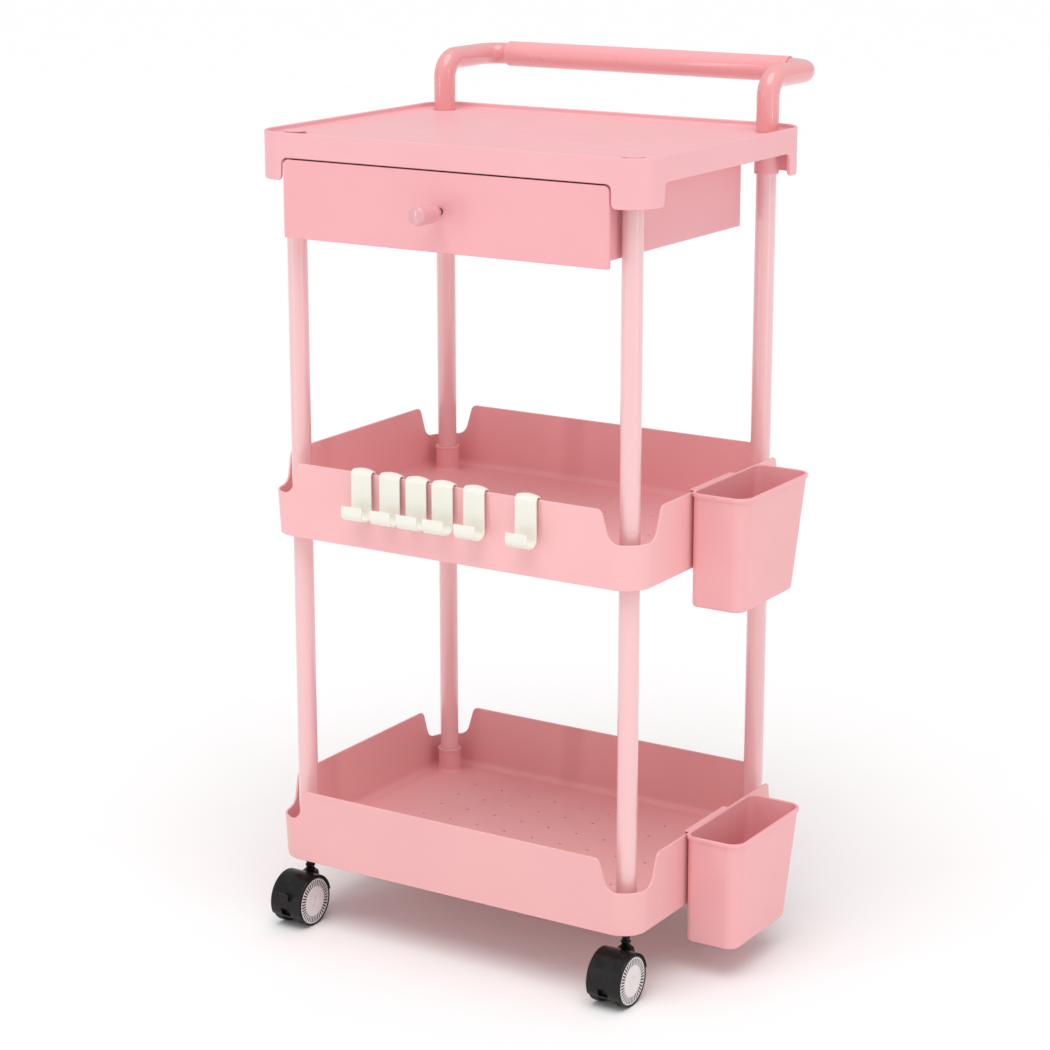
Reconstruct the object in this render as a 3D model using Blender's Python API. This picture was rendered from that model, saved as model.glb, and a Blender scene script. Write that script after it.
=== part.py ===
"""Three-tier rolling spa trolley: moulded trays on four tube posts, with a drawer, a push handle,
two hang-on bins, six hang-on hooks and four twin-wheel casters.

Metres, +Z up. The drawer opens towards -Y, the handle is at +Y and the bins hang on the +X side.
The origin is on the floor, under the centre of the trolley's overall box.
"""
import math

import bmesh
import bpy
from mathutils import Matrix, Vector

# ---- driving dimensions -------------------------------------------------------------------------
GAP = 0.0003            # clearance between pieces that touch or fit into each other

POST_X = 0.190          # half the distance between the left and the right posts
POST_Y = 0.132          # half the distance between the front and the rear posts
POST_RADIUS = 0.010
POST_WALL = 0.0012
SOCKET_RADIUS = 0.0122  # moulded collars that the posts stand in
BORE_RADIUS = POST_RADIUS + GAP

TOP_WIDTH = 0.438
TOP_DEPTH = 0.326
TOP_RIM_Z = 0.8225
TOP_SURFACE_Z = 0.8170
TOP_THICKNESS = 0.0025
SEAT_DEPTH = 0.0005     # round seats sunk in the tabletop for the caps and the handle's legs
SEAT_RADIUS = 0.0118
TOP_SKIRT_Z = 0.7980
TOP_LOBE_Z = 0.7759
TOP_WALL = 0.0030
LOBE_FRONT = 0.034      # lobe width from the corner, along the front and the back
LOBE_SIDE = 0.038       # lobe width from the corner, along the sides
LOBE_TIP_FILLET = 0.004
LOBE_ROOT_FILLET = 0.006
CORNER_RADIUS = 0.030

TRAY_WIDTH = 0.432
TRAY_DEPTH = 0.322
TRAY_HEIGHT = 0.0778
TRAY_TAPER = 0.004      # how far each wall leans in at its foot
TRAY_WALL = 0.0022
TRAY_FLOOR_RISE = 0.011  # floor surface above the wall's lower edge
TRAY_FLOOR_THICKNESS = 0.0025
TRAY_SOCKET_RISE = 0.037
MIDDLE_TRAY_Z = 0.4178
BOTTOM_TRAY_Z = 0.0718
NOTCH_DEPTH = 0.033
NOTCH_REACH_FRONT = 0.040  # where the notch ends on the front and back walls, from the corner's middle
NOTCH_REACH_SIDE = 0.044   # where it ends on the side walls
NOTCH_FOOT_RADIUS = 0.014
NOTCH_SHOULDER_RADIUS = 0.007
NOTCH_SLOPE = 75        # degrees

DRAWER_WIDTH = 0.365
DRAWER_BOTTOM_Z = 0.7206
DRAWER_FRONT_THICKNESS = 0.0042
DRAWER_REVEAL = 0.0014  # dark line between the drawer front and the skirt
DRAWER_DEPTH = 0.255    # front face to the back of the box
DRAWER_BOX_HEIGHT = 0.058
HOUSING_HALF_WIDTH = 0.178
HOUSING_BOTTOM_Z = 0.7270
HOUSING_BACK_Y = 0.101
HOUSING_FLANGE = 0.012  # the sleeve's open top leaves a flange this wide along each side
SHEET = 0.0018          # wall thickness of the drawer box and its housing

KNOB_LENGTH = 0.042
KNOB_RADIUS = 0.0095
KNOB_Z = 0.7600
SCREW_RADIUS = 0.0020

HANDLE_Z = 0.8695
HANDLE_REACH = 0.092    # how far the crossbar stands behind the rear posts
HANDLE_RADIUS = 0.01125
HANDLE_WALL = 0.0006 + GAP
HANDLE_BEND = 0.020
POST_STUB = 0.025       # how far a rear post reaches up into the handle
GRIP_RADIUS = 0.0133
GRIP_HALF_LENGTH = 0.167
CAP_RADIUS = 0.0115
CAP_HEIGHT = 0.0045

CUP_LENGTH = 0.138
CUP_WIDTH = 0.060
CUP_FOOT_LENGTH = 0.114
CUP_FOOT_OUTER_X = 0.0505  # foot's outer side, from the plane of the bin's rim next to the tray
CUP_FOOT_INNER_X = -0.0055  # foot's inner side: the bin leans in as the tray's wall does
CUP_HEIGHT = 0.1165
CUP_WALL = 0.0020
CUP_LIP = 0.0014
CUP_RISE = 0.0016       # cup rim above the tray wall it hangs on
CUP_CENTRE_Y = 0.003
FLANGE_HALF_LENGTH = 0.041
FLANGE_CENTRE_Y = -0.015  # the flange stops short of the bin's rear end
FLANGE_DROP = 0.012
FLANGE_THICKNESS = 0.0016

HOOK_CENTRES_X = (-0.094, -0.0605, -0.0295, 0.0010, 0.0372, 0.0955)
HOOK_WIDTH = 0.024
HOOK_THICKNESS = 0.0018
HOOK_HEIGHT = 0.0475
HOOK_REACH = 0.0172     # strap to lip, between their middles
HOOK_LIP = 0.0145
HOOK_BEND = 0.007
HOOK_STANDOFF = 0.0030
HOOK_CREST = 0.0003     # room left over the rim, where the arch is made of straight pieces
HOOK_TAB_GAP = 0.0010   # between the tab and the wall's inner side
HOOK_TAB = 0.009

WHEEL_RADIUS = 0.026
WHEEL_INNER_X = 0.0088
WHEEL_WIDTH = 0.0097
TRAIL = 0.0175          # axle ahead of the swivel axis
AXLE_RADIUS = 0.0030
CAP_DISC_RADIUS = 0.0241
HOOD_RADIUS = 0.0279
HOOD_WELL_RADIUS = 0.0267
HOOD_BOSS_RADIUS = 0.0085
HOOD_FOOT_DROP = 0.0135  # how far the hood reaches below the axle
BRAKE_STANDOFF = 0.0018  # hinge line ahead of the hood's nose
BRAKE_RISE = 0.0060     # hinge line above the axle
BRAKE_THICKNESS = 0.0022
BRAKE_HALF_WIDTH = 0.0060
HOOD_BOSS_TOP = 0.0512
STEM_RADIUS = 0.0040
STEM_BOSS_RADIUS = 0.0090
STEM_BOSS_DROP = 0.0030
ROUND_SEGMENTS = 20

# ---- worked-out places ---------------------------------------------------------------------------
SEAT_Z = TOP_SURFACE_Z - SEAT_DEPTH
FRONT_Y = -TOP_DEPTH / 2
CUP_INNER_X = TRAY_WIDTH / 2 + GAP + CUP_LIP
CUP_OUTER_X = CUP_INNER_X + CUP_WIDTH + CUP_LIP
KNOB_TIP_Y = FRONT_Y - GAP - KNOB_LENGTH
HANDLE_BACK_Y = POST_Y + HANDLE_REACH + GRIP_RADIUS
# The posts' centre, seen from the origin under the middle of the overall box.
CENTRE = Vector(((TOP_WIDTH / 2 - CUP_OUTER_X) / 2, -(KNOB_TIP_Y + HANDLE_BACK_Y) / 2, 0.0))
POSTS = {
    "fl": (-POST_X, -POST_Y),
    "fr": (POST_X, -POST_Y),
    "rl": (-POST_X, POST_Y),
    "rr": (POST_X, POST_Y),
}
BRAKED = ("fl", "rr")

COLOURS = {
    "moulded_pink": ((0.93, 0.45, 0.48), 0.42, 0.0),
    "tube_pink": ((0.95, 0.58, 0.62), 0.18, 0.2),
    "handle_pink": ((0.85, 0.30, 0.33), 0.22, 0.0),
    "knob_pink": ((0.84, 0.42, 0.46), 0.25, 0.0),
    "hook_cream": ((0.90, 0.90, 0.84), 0.40, 0.0),
    "caster_black": ((0.012, 0.011, 0.011), 0.35, 0.0),
    "hub_white": ((0.80, 0.78, 0.78), 0.35, 0.0),
    "steel": ((0.42, 0.42, 0.43), 0.30, 1.0),
}


# ---- building blocks -----------------------------------------------------------------------------
def clear_objects():
    """Empty the scene."""
    for item in list(bpy.data.objects):
        bpy.data.objects.remove(item, do_unlink=True)


def material(name):
    """One plain material for each finish."""
    if name in bpy.data.materials:
        return bpy.data.materials[name]
    colour, roughness, metallic = COLOURS[name]
    made = bpy.data.materials.new(name)
    made.use_nodes = True
    shader = made.node_tree.nodes["Principled BSDF"]
    shader.inputs["Base Color"].default_value = (*colour, 1.0)
    shader.inputs["Roughness"].default_value = roughness
    shader.inputs["Metallic"].default_value = metallic
    return made


def joint_empty(name, position, parent=None):
    """An empty on a joint's axis; position is measured from the posts' centre."""
    empty = bpy.data.objects.new(name, None)
    empty.empty_display_size = 0.02
    bpy.context.scene.collection.objects.link(empty)
    place(empty, position, parent)
    return empty


def place(item, position, parent):
    """Put an object at a position measured from the posts' centre, under its parent."""
    world = Vector(position) + CENTRE
    item["world"] = tuple(world)
    if parent is not None:
        item.parent = parent
        world = world - Vector(parent["world"])
    item.location = world


def add(name, bm, finish, position=(0, 0, 0), parent=None, smooth=False, cutter=False):
    """Turn a bmesh into a named object."""
    bmesh.ops.recalc_face_normals(bm, faces=bm.faces)
    mesh = bpy.data.meshes.new(name)
    bm.to_mesh(mesh)
    bm.free()
    item = bpy.data.objects.new(name, mesh)
    bpy.context.scene.collection.objects.link(item)
    if cutter:
        item.hide_render = True
        item.display_type = "WIRE"
    else:
        mesh.materials.append(material(finish))
    if smooth:
        mesh.shade_smooth()
        mesh.set_sharp_from_angle(angle=math.radians(35))
    place(item, position, parent)
    return item


def loft(rings, closed=False):
    """Skin a row of rings; close it with end faces, or join the last ring to the first."""
    bm = bmesh.new()
    rows = [[bm.verts.new(point) for point in ring] for ring in rings]
    pairs = list(zip(rows, rows[1:]))
    if closed:
        pairs.append((rows[-1], rows[0]))
    for low, high in pairs:
        for index in range(len(low)):
            following = (index + 1) % len(low)
            bm.faces.new((low[index], low[following], high[following], high[index]))
    if not closed:
        bm.faces.new(rows[0])
        bm.faces.new(rows[-1])
    return bm


def turned(profile, segments, closed=False, axis="Z"):
    """Turn a (radius, height) profile about Z, or about X for wheels, with a flat facing down."""
    step = math.tau / segments
    rings = []
    for radius, height in profile:
        ring = []
        for index in range(segments):
            angle = step * (index + 0.5)
            point = (radius * math.cos(angle), radius * math.sin(angle), height)
            ring.append(point if axis == "Z" else (point[2], point[0], point[1]))
        rings.append(ring)
    return loft(rings, closed)


def block(low, high):
    """A box between two corners."""
    bm = bmesh.new()
    size = [top - bottom for bottom, top in zip(low, high)]
    middle = [(top + bottom) / 2 for bottom, top in zip(low, high)]
    bmesh.ops.create_cube(bm, size=1.0, matrix=Matrix.Translation(middle) @ Matrix.Diagonal((*size, 1.0)))
    return bm


def combined(parts):
    """Several separate closed shapes in one bmesh, for use as a cutter or a union tool."""
    whole = bmesh.new()
    for part in parts:
        shape = bpy.data.meshes.new("piece")
        part.to_mesh(shape)
        part.free()
        whole.from_mesh(shape)
        bpy.data.meshes.remove(shape)
    return whole


def boolean(item, tool, operation):
    """Cut or join with a tool object."""
    modifier = item.modifiers.new(operation.lower(), "BOOLEAN")
    modifier.operation = operation
    modifier.solver = "EXACT"
    modifier.object = tool


def shape_with(item, tool_bm, operation, position=(0, 0, 0), parent=None):
    """Make a hidden tool from a bmesh and cut or join the object with it."""
    name = f"{item.name}_{operation.lower()}_{len(item.modifiers)}"
    tool = add(name, tool_bm, None, position, parent, cutter=True)
    boolean(item, tool, operation)


def rounded_path(corners, radius, steps):
    """A 3-D path through corner points, with an arc of the given radius at each inner corner."""
    points = [Vector(corners[0])]
    for before, corner, after in zip(corners, corners[1:], corners[2:]):
        corner = Vector(corner)
        back = (Vector(before) - corner).normalized()
        ahead = (Vector(after) - corner).normalized()
        half_angle = back.angle(ahead) / 2
        reach = radius / math.tan(half_angle)
        centre = corner + (back + ahead).normalized() * (radius / math.sin(half_angle))
        start = corner + back * reach - centre
        end = corner + ahead * reach - centre
        turn = start.angle(end)
        for index in range(steps + 1):
            share = index / steps
            blend = start * math.sin((1 - share) * turn) + end * math.sin(share * turn)
            points.append(centre + blend / math.sin(turn))
    points.append(Vector(corners[-1]))
    return points


def swept_ring(path, radius, sides):
    """Circles carried along a path without twisting."""
    rings = []
    side = Vector((1.0, 0.0, 0.0))
    for index, point in enumerate(path):
        ahead = path[min(index + 1, len(path) - 1)] - path[max(index - 1, 0)]
        ahead.normalize()
        side = (side - ahead * side.dot(ahead)).normalized()
        other = ahead.cross(side)
        ring = []
        for spoke in range(sides):
            angle = math.tau * spoke / sides
            ring.append(point + (side * math.cos(angle) + other * math.sin(angle)) * radius)
        rings.append(ring)
    return rings


def hollow_tube(path, radius, bore, sides):
    """A tube with open ends, along a path."""
    outer = swept_ring(path, radius, sides)
    inner = swept_ring(path, bore, sides)
    return loft(outer + inner[::-1], closed=True)


def strip(path, thickness, half_width, to_point):
    """A bent strip: a flat path thickened both ways and extruded to both sides of its plane."""
    stations = []
    for index, here in enumerate(path):
        before = Vector(path[max(index - 1, 0)])
        after = Vector(path[min(index + 1, len(path) - 1)])
        here = Vector(here)
        normals = []
        for leg in (here - before, after - here):
            if leg.length > 0:
                normals.append(Vector((-leg.y, leg.x)).normalized())
        normal = sum(normals, Vector((0, 0))).normalized()
        reach = thickness / 2 / normal.dot(normals[0])
        left = here + normal * reach
        right = here - normal * reach
        corners = ((left, -half_width), (left, half_width), (right, half_width), (right, -half_width))
        stations.append([to_point(flat, across) for flat, across in corners])
    return loft(stations)


# ---- trays ---------------------------------------------------------------------------------------
def corner_outline(width, depth, radius, stations):
    """Points of a rounded rectangle, as (point, outward normal, station).

    A station is the distance along the wall from the corner's middle: below zero towards the
    front or back wall, above zero towards the side wall.
    """
    outline = []
    arc_half = radius * math.pi / 4
    for sign_x, sign_y in ((1, 1), (-1, 1), (-1, -1), (1, -1)):
        for station in sorted(stations, reverse=sign_x * sign_y > 0):
            if abs(station) <= arc_half:
                angle = math.pi / 4 - station / radius
                normal = Vector((math.cos(angle), math.sin(angle)))
                point = Vector((width / 2 - radius, depth / 2 - radius)) + normal * radius
            elif station > 0:
                normal = Vector((1.0, 0.0))
                point = Vector((width / 2, depth / 2 - radius - station + arc_half))
            else:
                normal = Vector((0.0, 1.0))
                point = Vector((width / 2 - radius + station + arc_half, depth / 2))
            flip = Vector((sign_x, sign_y))
            outline.append((point * flip, normal * flip, station))
    return outline


def tray_ring(outline, inset, height):
    """One ring of a tray: inset and height may each depend on the station."""
    ring = []
    for point, normal, station in outline:
        level = height(station)
        moved = point - normal * inset(level)
        ring.append((moved.x, moved.y, level))
    return ring


def tray_shell(width, depth, stations, low_edge, high_edge, floor_z, floor_thickness, wall, taper):
    """A moulded tray: a wall that stands above and below its floor."""
    outline = corner_outline(width, depth, CORNER_RADIUS, stations)
    low_level = min(low_edge(station) for station in stations)
    high_level = max(high_edge(station) for station in stations)

    def outside(level):
        return taper * (high_level - level) / (high_level - low_level)

    def inside(level):
        return outside(level) + wall

    rings = [
        tray_ring(outline, inside, lambda station: floor_z - floor_thickness),
        tray_ring(outline, inside, low_edge),
        tray_ring(outline, outside, low_edge),
        tray_ring(outline, outside, high_edge),
        tray_ring(outline, inside, high_edge),
        tray_ring(outline, inside, lambda station: floor_z),
    ]
    return loft(rings)


def posts_cylinders(radius, low, high, names=tuple(POSTS), segments=16):
    """Cylinders on the post axes, as one bmesh."""
    shapes = []
    for name in names:
        shape = turned([(radius, low), (radius, high)], segments)
        bmesh.ops.translate(shape, verts=shape.verts, vec=(*POSTS[name], 0.0))
        shapes.append(shape)
    return combined(shapes)


def lobe_stations():
    """Stations of the top tray, with the heights of its lower edge at each."""
    edge = {}
    arc_half = CORNER_RADIUS * math.pi / 4
    for angle in (0.0, 0.34, 0.68):
        for sign in (-1, 1):
            edge[sign * arc_half * angle] = TOP_LOBE_Z
    for sign, width in ((-1, LOBE_FRONT), (1, LOBE_SIDE)):
        tip = arc_half + width - CORNER_RADIUS
        for index in range(4):
            angle = math.radians(30 * index)
            along = tip - LOBE_TIP_FILLET * (1 - math.sin(angle))
            edge[sign * along] = TOP_LOBE_Z + LOBE_TIP_FILLET * (1 - math.cos(angle))
            along = tip + 0.0005 + LOBE_ROOT_FILLET * (1 - math.cos(angle))
            edge[sign * along] = TOP_SKIRT_Z - LOBE_ROOT_FILLET * (1 - math.sin(angle))
    return edge


def make_top_tray():
    """Tabletop with a low rim, a skirt with deeper corner lobes and four post sockets."""
    edge = lobe_stations()
    bm = tray_shell(
        TOP_WIDTH, TOP_DEPTH, list(edge), lambda station: edge[station], lambda station: TOP_RIM_Z,
        TOP_SURFACE_Z, TOP_THICKNESS, TOP_WALL, 0.0,
    )
    tray = add("top_tray", bm, "moulded_pink")
    under = TOP_SURFACE_Z - TOP_THICKNESS
    shape_with(tray, posts_cylinders(SOCKET_RADIUS, TOP_LOBE_Z, TOP_SURFACE_Z - 0.0005), "UNION")
    bores = combined([
        posts_cylinders(BORE_RADIUS, TOP_LOBE_Z - 0.01, under, ("fl", "fr")),
        posts_cylinders(BORE_RADIUS, TOP_LOBE_Z - 0.01, TOP_RIM_Z + 0.01, ("rl", "rr")),
    ])
    shape_with(tray, posts_cylinders(SEAT_RADIUS, SEAT_Z, TOP_RIM_Z, segments=ROUND_SEGMENTS), "DIFFERENCE")
    shape_with(tray, bores, "DIFFERENCE")


def notch_outline(reach):
    """One side of a notch, as (station, depth): a rounded foot, a steep slope and a rounded shoulder."""
    slope = math.radians(NOTCH_SLOPE)
    radii = NOTCH_FOOT_RADIUS + NOTCH_SHOULDER_RADIUS
    straight_rise = NOTCH_DEPTH - radii * (1 - math.cos(slope))
    start = reach - radii * math.sin(slope) - straight_rise / math.tan(slope)
    points = [(start / 2, NOTCH_DEPTH)]
    for index in range(4):
        angle = slope * index / 3
        rise = NOTCH_FOOT_RADIUS * (1 - math.cos(angle))
        points.append((start + NOTCH_FOOT_RADIUS * math.sin(angle), NOTCH_DEPTH - rise))
    for index in range(3, -1, -1):
        angle = slope * index / 3
        drop = NOTCH_SHOULDER_RADIUS * (1 - math.cos(angle))
        points.append((reach - NOTCH_SHOULDER_RADIUS * math.sin(angle), drop))
    return points


def make_basket_tray(name, base_z, lower_bore):
    """Deep tray with a notch at each corner and a socket for each post."""
    depths = {0.0: NOTCH_DEPTH}
    for sign, reach in ((-1, NOTCH_REACH_FRONT), (1, NOTCH_REACH_SIDE)):
        depths |= {sign * station: depth for station, depth in notch_outline(reach)}
    rim_z = base_z + TRAY_HEIGHT
    floor_z = base_z + TRAY_FLOOR_RISE
    bm = tray_shell(
        TRAY_WIDTH, TRAY_DEPTH, sorted(depths), lambda station: base_z,
        lambda station: rim_z - depths[station],
        floor_z, TRAY_FLOOR_THICKNESS, TRAY_WALL, TRAY_TAPER,
    )
    tray = add(name, bm, "moulded_pink")
    shape_with(tray, posts_cylinders(SOCKET_RADIUS, floor_z - 0.0012, base_z + TRAY_SOCKET_RISE), "UNION")
    boss_low, boss_radius, bore_radius = lower_bore
    shape_with(tray, posts_cylinders(boss_radius, boss_low, floor_z - 0.0010), "UNION")
    bores = combined([
        posts_cylinders(BORE_RADIUS, floor_z, base_z + TRAY_HEIGHT),
        posts_cylinders(bore_radius, boss_low - 0.01, floor_z - TRAY_FLOOR_THICKNESS),
    ])
    shape_with(tray, bores, "DIFFERENCE")


def make_trays():
    """The top tray and the two basket trays."""
    make_top_tray()
    make_basket_tray("middle_tray", MIDDLE_TRAY_Z, (MIDDLE_TRAY_Z + 0.0010, SOCKET_RADIUS, BORE_RADIUS))
    stem_bore = STEM_RADIUS + GAP
    boss_low = BOTTOM_TRAY_Z - STEM_BOSS_DROP
    make_basket_tray("bottom_tray", BOTTOM_TRAY_Z, (boss_low, STEM_BOSS_RADIUS, stem_bore))


# ---- posts and handle ----------------------------------------------------------------------------
def make_posts():
    """Eight tubes: one lower and one upper at each corner. The rear ones reach into the handle."""
    bore = POST_RADIUS - POST_WALL
    lower_start = BOTTOM_TRAY_Z + TRAY_FLOOR_RISE + GAP
    lower_end = MIDDLE_TRAY_Z + TRAY_FLOOR_RISE - TRAY_FLOOR_THICKNESS - GAP
    upper_start = MIDDLE_TRAY_Z + TRAY_FLOOR_RISE + GAP
    for name, (x, y) in POSTS.items():
        upper_end = TOP_SURFACE_Z - TOP_THICKNESS - GAP
        if name.startswith("r"):
            upper_end = TOP_SURFACE_Z + POST_STUB
        for level, start, end in (("lower", lower_start, lower_end), ("upper", upper_start, upper_end)):
            profile = [(POST_RADIUS, start), (POST_RADIUS, end), (bore, end), (bore, start)]
            add(f"post_{level}_{name}", turned(profile, 16, closed=True), "tube_pink", (x, y, 0), smooth=True)


def make_post_caps():
    """Buttons on the tabletop over the two front posts."""
    base = SEAT_Z + GAP
    top = base + CAP_HEIGHT
    profile = [(CAP_RADIUS, base), (CAP_RADIUS, top - 0.001), (CAP_RADIUS - 0.001, top)]
    for name in ("fl", "fr"):
        x, y = POSTS[name]
        add(f"post_cap_{name}", turned(profile, ROUND_SEGMENTS), "moulded_pink", (x, y, 0), smooth=True)


def make_handle():
    """One bent tube that slips over both rear posts, with a sleeve grip on its crossbar."""
    back = POST_Y + HANDLE_REACH
    base = SEAT_Z + GAP
    corners = [
        (-POST_X, POST_Y, base),
        (-POST_X, POST_Y, HANDLE_Z),
        (-POST_X, back, HANDLE_Z),
        (POST_X, back, HANDLE_Z),
        (POST_X, POST_Y, HANDLE_Z),
        (POST_X, POST_Y, base),
    ]
    path = rounded_path(corners, HANDLE_BEND, 4)
    bore = HANDLE_RADIUS - HANDLE_WALL
    add("handle_tube", hollow_tube(path, HANDLE_RADIUS, bore, 12), "handle_pink", smooth=True)
    inner = HANDLE_RADIUS + GAP
    half = GRIP_HALF_LENGTH
    profile = [(inner, -half), (GRIP_RADIUS, -half), (GRIP_RADIUS, half), (inner, half)]
    grip = turned(profile, 18, closed=True, axis="X")
    add("handle_grip", grip, "handle_pink", (0, back, HANDLE_Z), smooth=True)


# ---- drawer --------------------------------------------------------------------------------------
def make_drawer_housing():
    """Open-fronted sleeve under the tabletop, with two inward top flanges."""
    top = TOP_SURFACE_Z - TOP_THICKNESS - GAP
    front = FRONT_Y + DRAWER_FRONT_THICKNESS + GAP
    half = HOUSING_HALF_WIDTH
    outside = block((-half, front, HOUSING_BOTTOM_Z), (half, HOUSING_BACK_Y, top))
    housing = add("drawer_housing", outside, "moulded_pink")
    cavity = block(
        (SHEET - half, front - 0.01, HOUSING_BOTTOM_Z + SHEET),
        (half - SHEET, HOUSING_BACK_Y - SHEET, top - SHEET))
    shape_with(housing, cavity, "DIFFERENCE")
    open_half = half - HOUSING_FLANGE
    slot = block(
        (-open_half, front - 0.01, HOUSING_BOTTOM_Z + 0.04),
        (open_half, HOUSING_BACK_Y - SHEET, top + 0.01))
    shape_with(housing, slot, "DIFFERENCE")


def drawer_front_outline():
    """The front's outline in X and Z: square below, rounded above."""
    half = DRAWER_WIDTH / 2
    top = TOP_SKIRT_Z - DRAWER_REVEAL
    radius = LOBE_ROOT_FILLET
    points = [(-half, DRAWER_BOTTOM_Z), (half, DRAWER_BOTTOM_Z)]
    for side, first in ((1, 0), (-1, 90)):
        for index in range(4):
            angle = math.radians(first + 30 * index)
            points.append((
                side * (half - radius) + radius * math.cos(angle), top - radius + radius * math.sin(angle)))
    return points


def make_drawer():
    """Front panel, the box it closes, peg knob and its screw, all on the drawer's slide."""
    slide = joint_empty("drawer_slide", (0, FRONT_Y, KNOB_Z))
    back = FRONT_Y + DRAWER_FRONT_THICKNESS
    outline = drawer_front_outline()
    rings = [[(x, y, z) for x, z in outline] for y in (FRONT_Y, back)]
    for ring in rings:
        for index, (x, y, z) in enumerate(ring):
            ring[index] = (x, y - FRONT_Y, z - KNOB_Z)
    front = add("drawer_front", loft(rings), "moulded_pink", (0, FRONT_Y, KNOB_Z), slide)
    screw_hole = turned([(SCREW_RADIUS + GAP, -0.03), (SCREW_RADIUS + GAP, 0.03)], 10)
    shape_with(front, standing_forward(screw_hole), "DIFFERENCE", (0, FRONT_Y, KNOB_Z), slide)

    half = HOUSING_HALF_WIDTH - SHEET - 0.0012
    low = HOUSING_BOTTOM_Z + SHEET + 0.0008
    box_front = back + GAP
    box_back = FRONT_Y + DRAWER_DEPTH
    high = low + DRAWER_BOX_HEIGHT
    origin = Vector((0, FRONT_Y, KNOB_Z))
    box = add(
        "drawer_box",
        block(Vector((-half, box_front, low)) - origin, Vector((half, box_back, high)) - origin),
        "moulded_pink", origin, slide)
    cavity = block(
        Vector((SHEET - half, box_front - 0.01, low + SHEET)) - origin,
        Vector((half - SHEET, box_back - SHEET, high + 0.01)) - origin)
    shape_with(box, cavity, "DIFFERENCE", origin, slide)

    make_knob(slide, origin, back)


def standing_forward(bm):
    """Lay a piece that was turned about +Z along -Y."""
    bmesh.ops.rotate(bm, verts=bm.verts, matrix=Matrix.Rotation(math.pi / 2, 3, "X"))
    return bm


def make_knob(slide, origin, wall_back):
    """Peg knob with a waisted neck, and the pan-head screw that holds it from inside."""
    foot = GAP
    profile = [
        (0.0065, foot), (0.0060, 0.0020), (0.0042, 0.0045), (0.0042, 0.0080), (KNOB_RADIUS - 0.0005, 0.0140),
        (KNOB_RADIUS, 0.0180), (KNOB_RADIUS, KNOB_LENGTH - 0.0040),
        (KNOB_RADIUS - 0.0020, KNOB_LENGTH - 0.0007),
        (KNOB_RADIUS - 0.0045, KNOB_LENGTH + GAP),
    ]
    knob = add("drawer_knob", standing_forward(turned(profile, 16)), "knob_pink", origin, slide, smooth=True)
    bore = turned([(SCREW_RADIUS + GAP, -0.01), (SCREW_RADIUS + GAP, 0.0160)], 10)
    shape_with(knob, standing_forward(bore), "DIFFERENCE", origin, slide)

    inside = FRONT_Y - wall_back
    head = inside - GAP
    profile = [
        (0.0030, head - 0.0024), (0.0040, head - 0.0014), (0.0040, head), (SCREW_RADIUS, head),
        (SCREW_RADIUS, 0.0155),
    ]
    add("knob_screw", standing_forward(turned(profile, 12)), "steel", origin, slide, smooth=True)


# ---- bins and hooks ------------------------------------------------------------------------------
def cup_ring(level, inset, radius):
    """One ring of a bin at a level above its foot, with rounded corners."""
    share = level / CUP_HEIGHT
    inner = CUP_FOOT_INNER_X * (1 - share)
    outer = CUP_FOOT_OUTER_X + (CUP_WIDTH - CUP_FOOT_OUTER_X) * share
    length = CUP_FOOT_LENGTH + (CUP_LENGTH - CUP_FOOT_LENGTH) * share
    stations = [radius * math.pi / 4 * step for step in (-1, -0.5, 0, 0.5, 1)]
    ring = []
    for point, normal, _ in corner_outline(outer - inner, length, radius, stations):
        moved = point - normal * inset
        ring.append((moved.x + (outer + inner) / 2, moved.y, level))
    return ring


def make_cup(name, tray_z):
    """Tapered bin with a lip, hung on the tray's side wall by a flange."""
    rim = tray_z + TRAY_HEIGHT + CUP_RISE
    lip_foot = CUP_HEIGHT - 0.004
    position = (CUP_INNER_X, CUP_CENTRE_Y, rim - CUP_HEIGHT)
    cup_slide = joint_empty(f"{name}_lift", position)
    rings = [
        cup_ring(0.0, 0.0020, 0.012),
        cup_ring(0.003, 0.0, 0.012),
        cup_ring(lip_foot, 0.0, 0.014),
        cup_ring(lip_foot + 0.0008, -CUP_LIP, 0.014),
        cup_ring(CUP_HEIGHT, -CUP_LIP, 0.014),
        cup_ring(CUP_HEIGHT, CUP_WALL, 0.014),
        cup_ring(CUP_WALL + 0.001, CUP_WALL, 0.012),
    ]
    cup = add(name, loft(rings), "moulded_pink", position, cup_slide)
    wall_inner = TRAY_WIDTH / 2 - TRAY_WALL
    inner_leg = wall_inner - 0.0008 - FLANGE_THICKNESS / 2 - CUP_INNER_X
    bridge = CUP_HEIGHT - CUP_RISE + GAP + FLANGE_THICKNESS / 2
    path = [
        (inner_leg, bridge - FLANGE_DROP),
        (inner_leg, bridge),
        (0.0006, bridge),
    ]
    flange = strip(path, FLANGE_THICKNESS, FLANGE_HALF_LENGTH, lambda flat, across: (flat.x, across, flat.y))
    shape_with(cup, flange, "UNION", (position[0], FLANGE_CENTRE_Y, position[2]), cup_slide)


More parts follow.
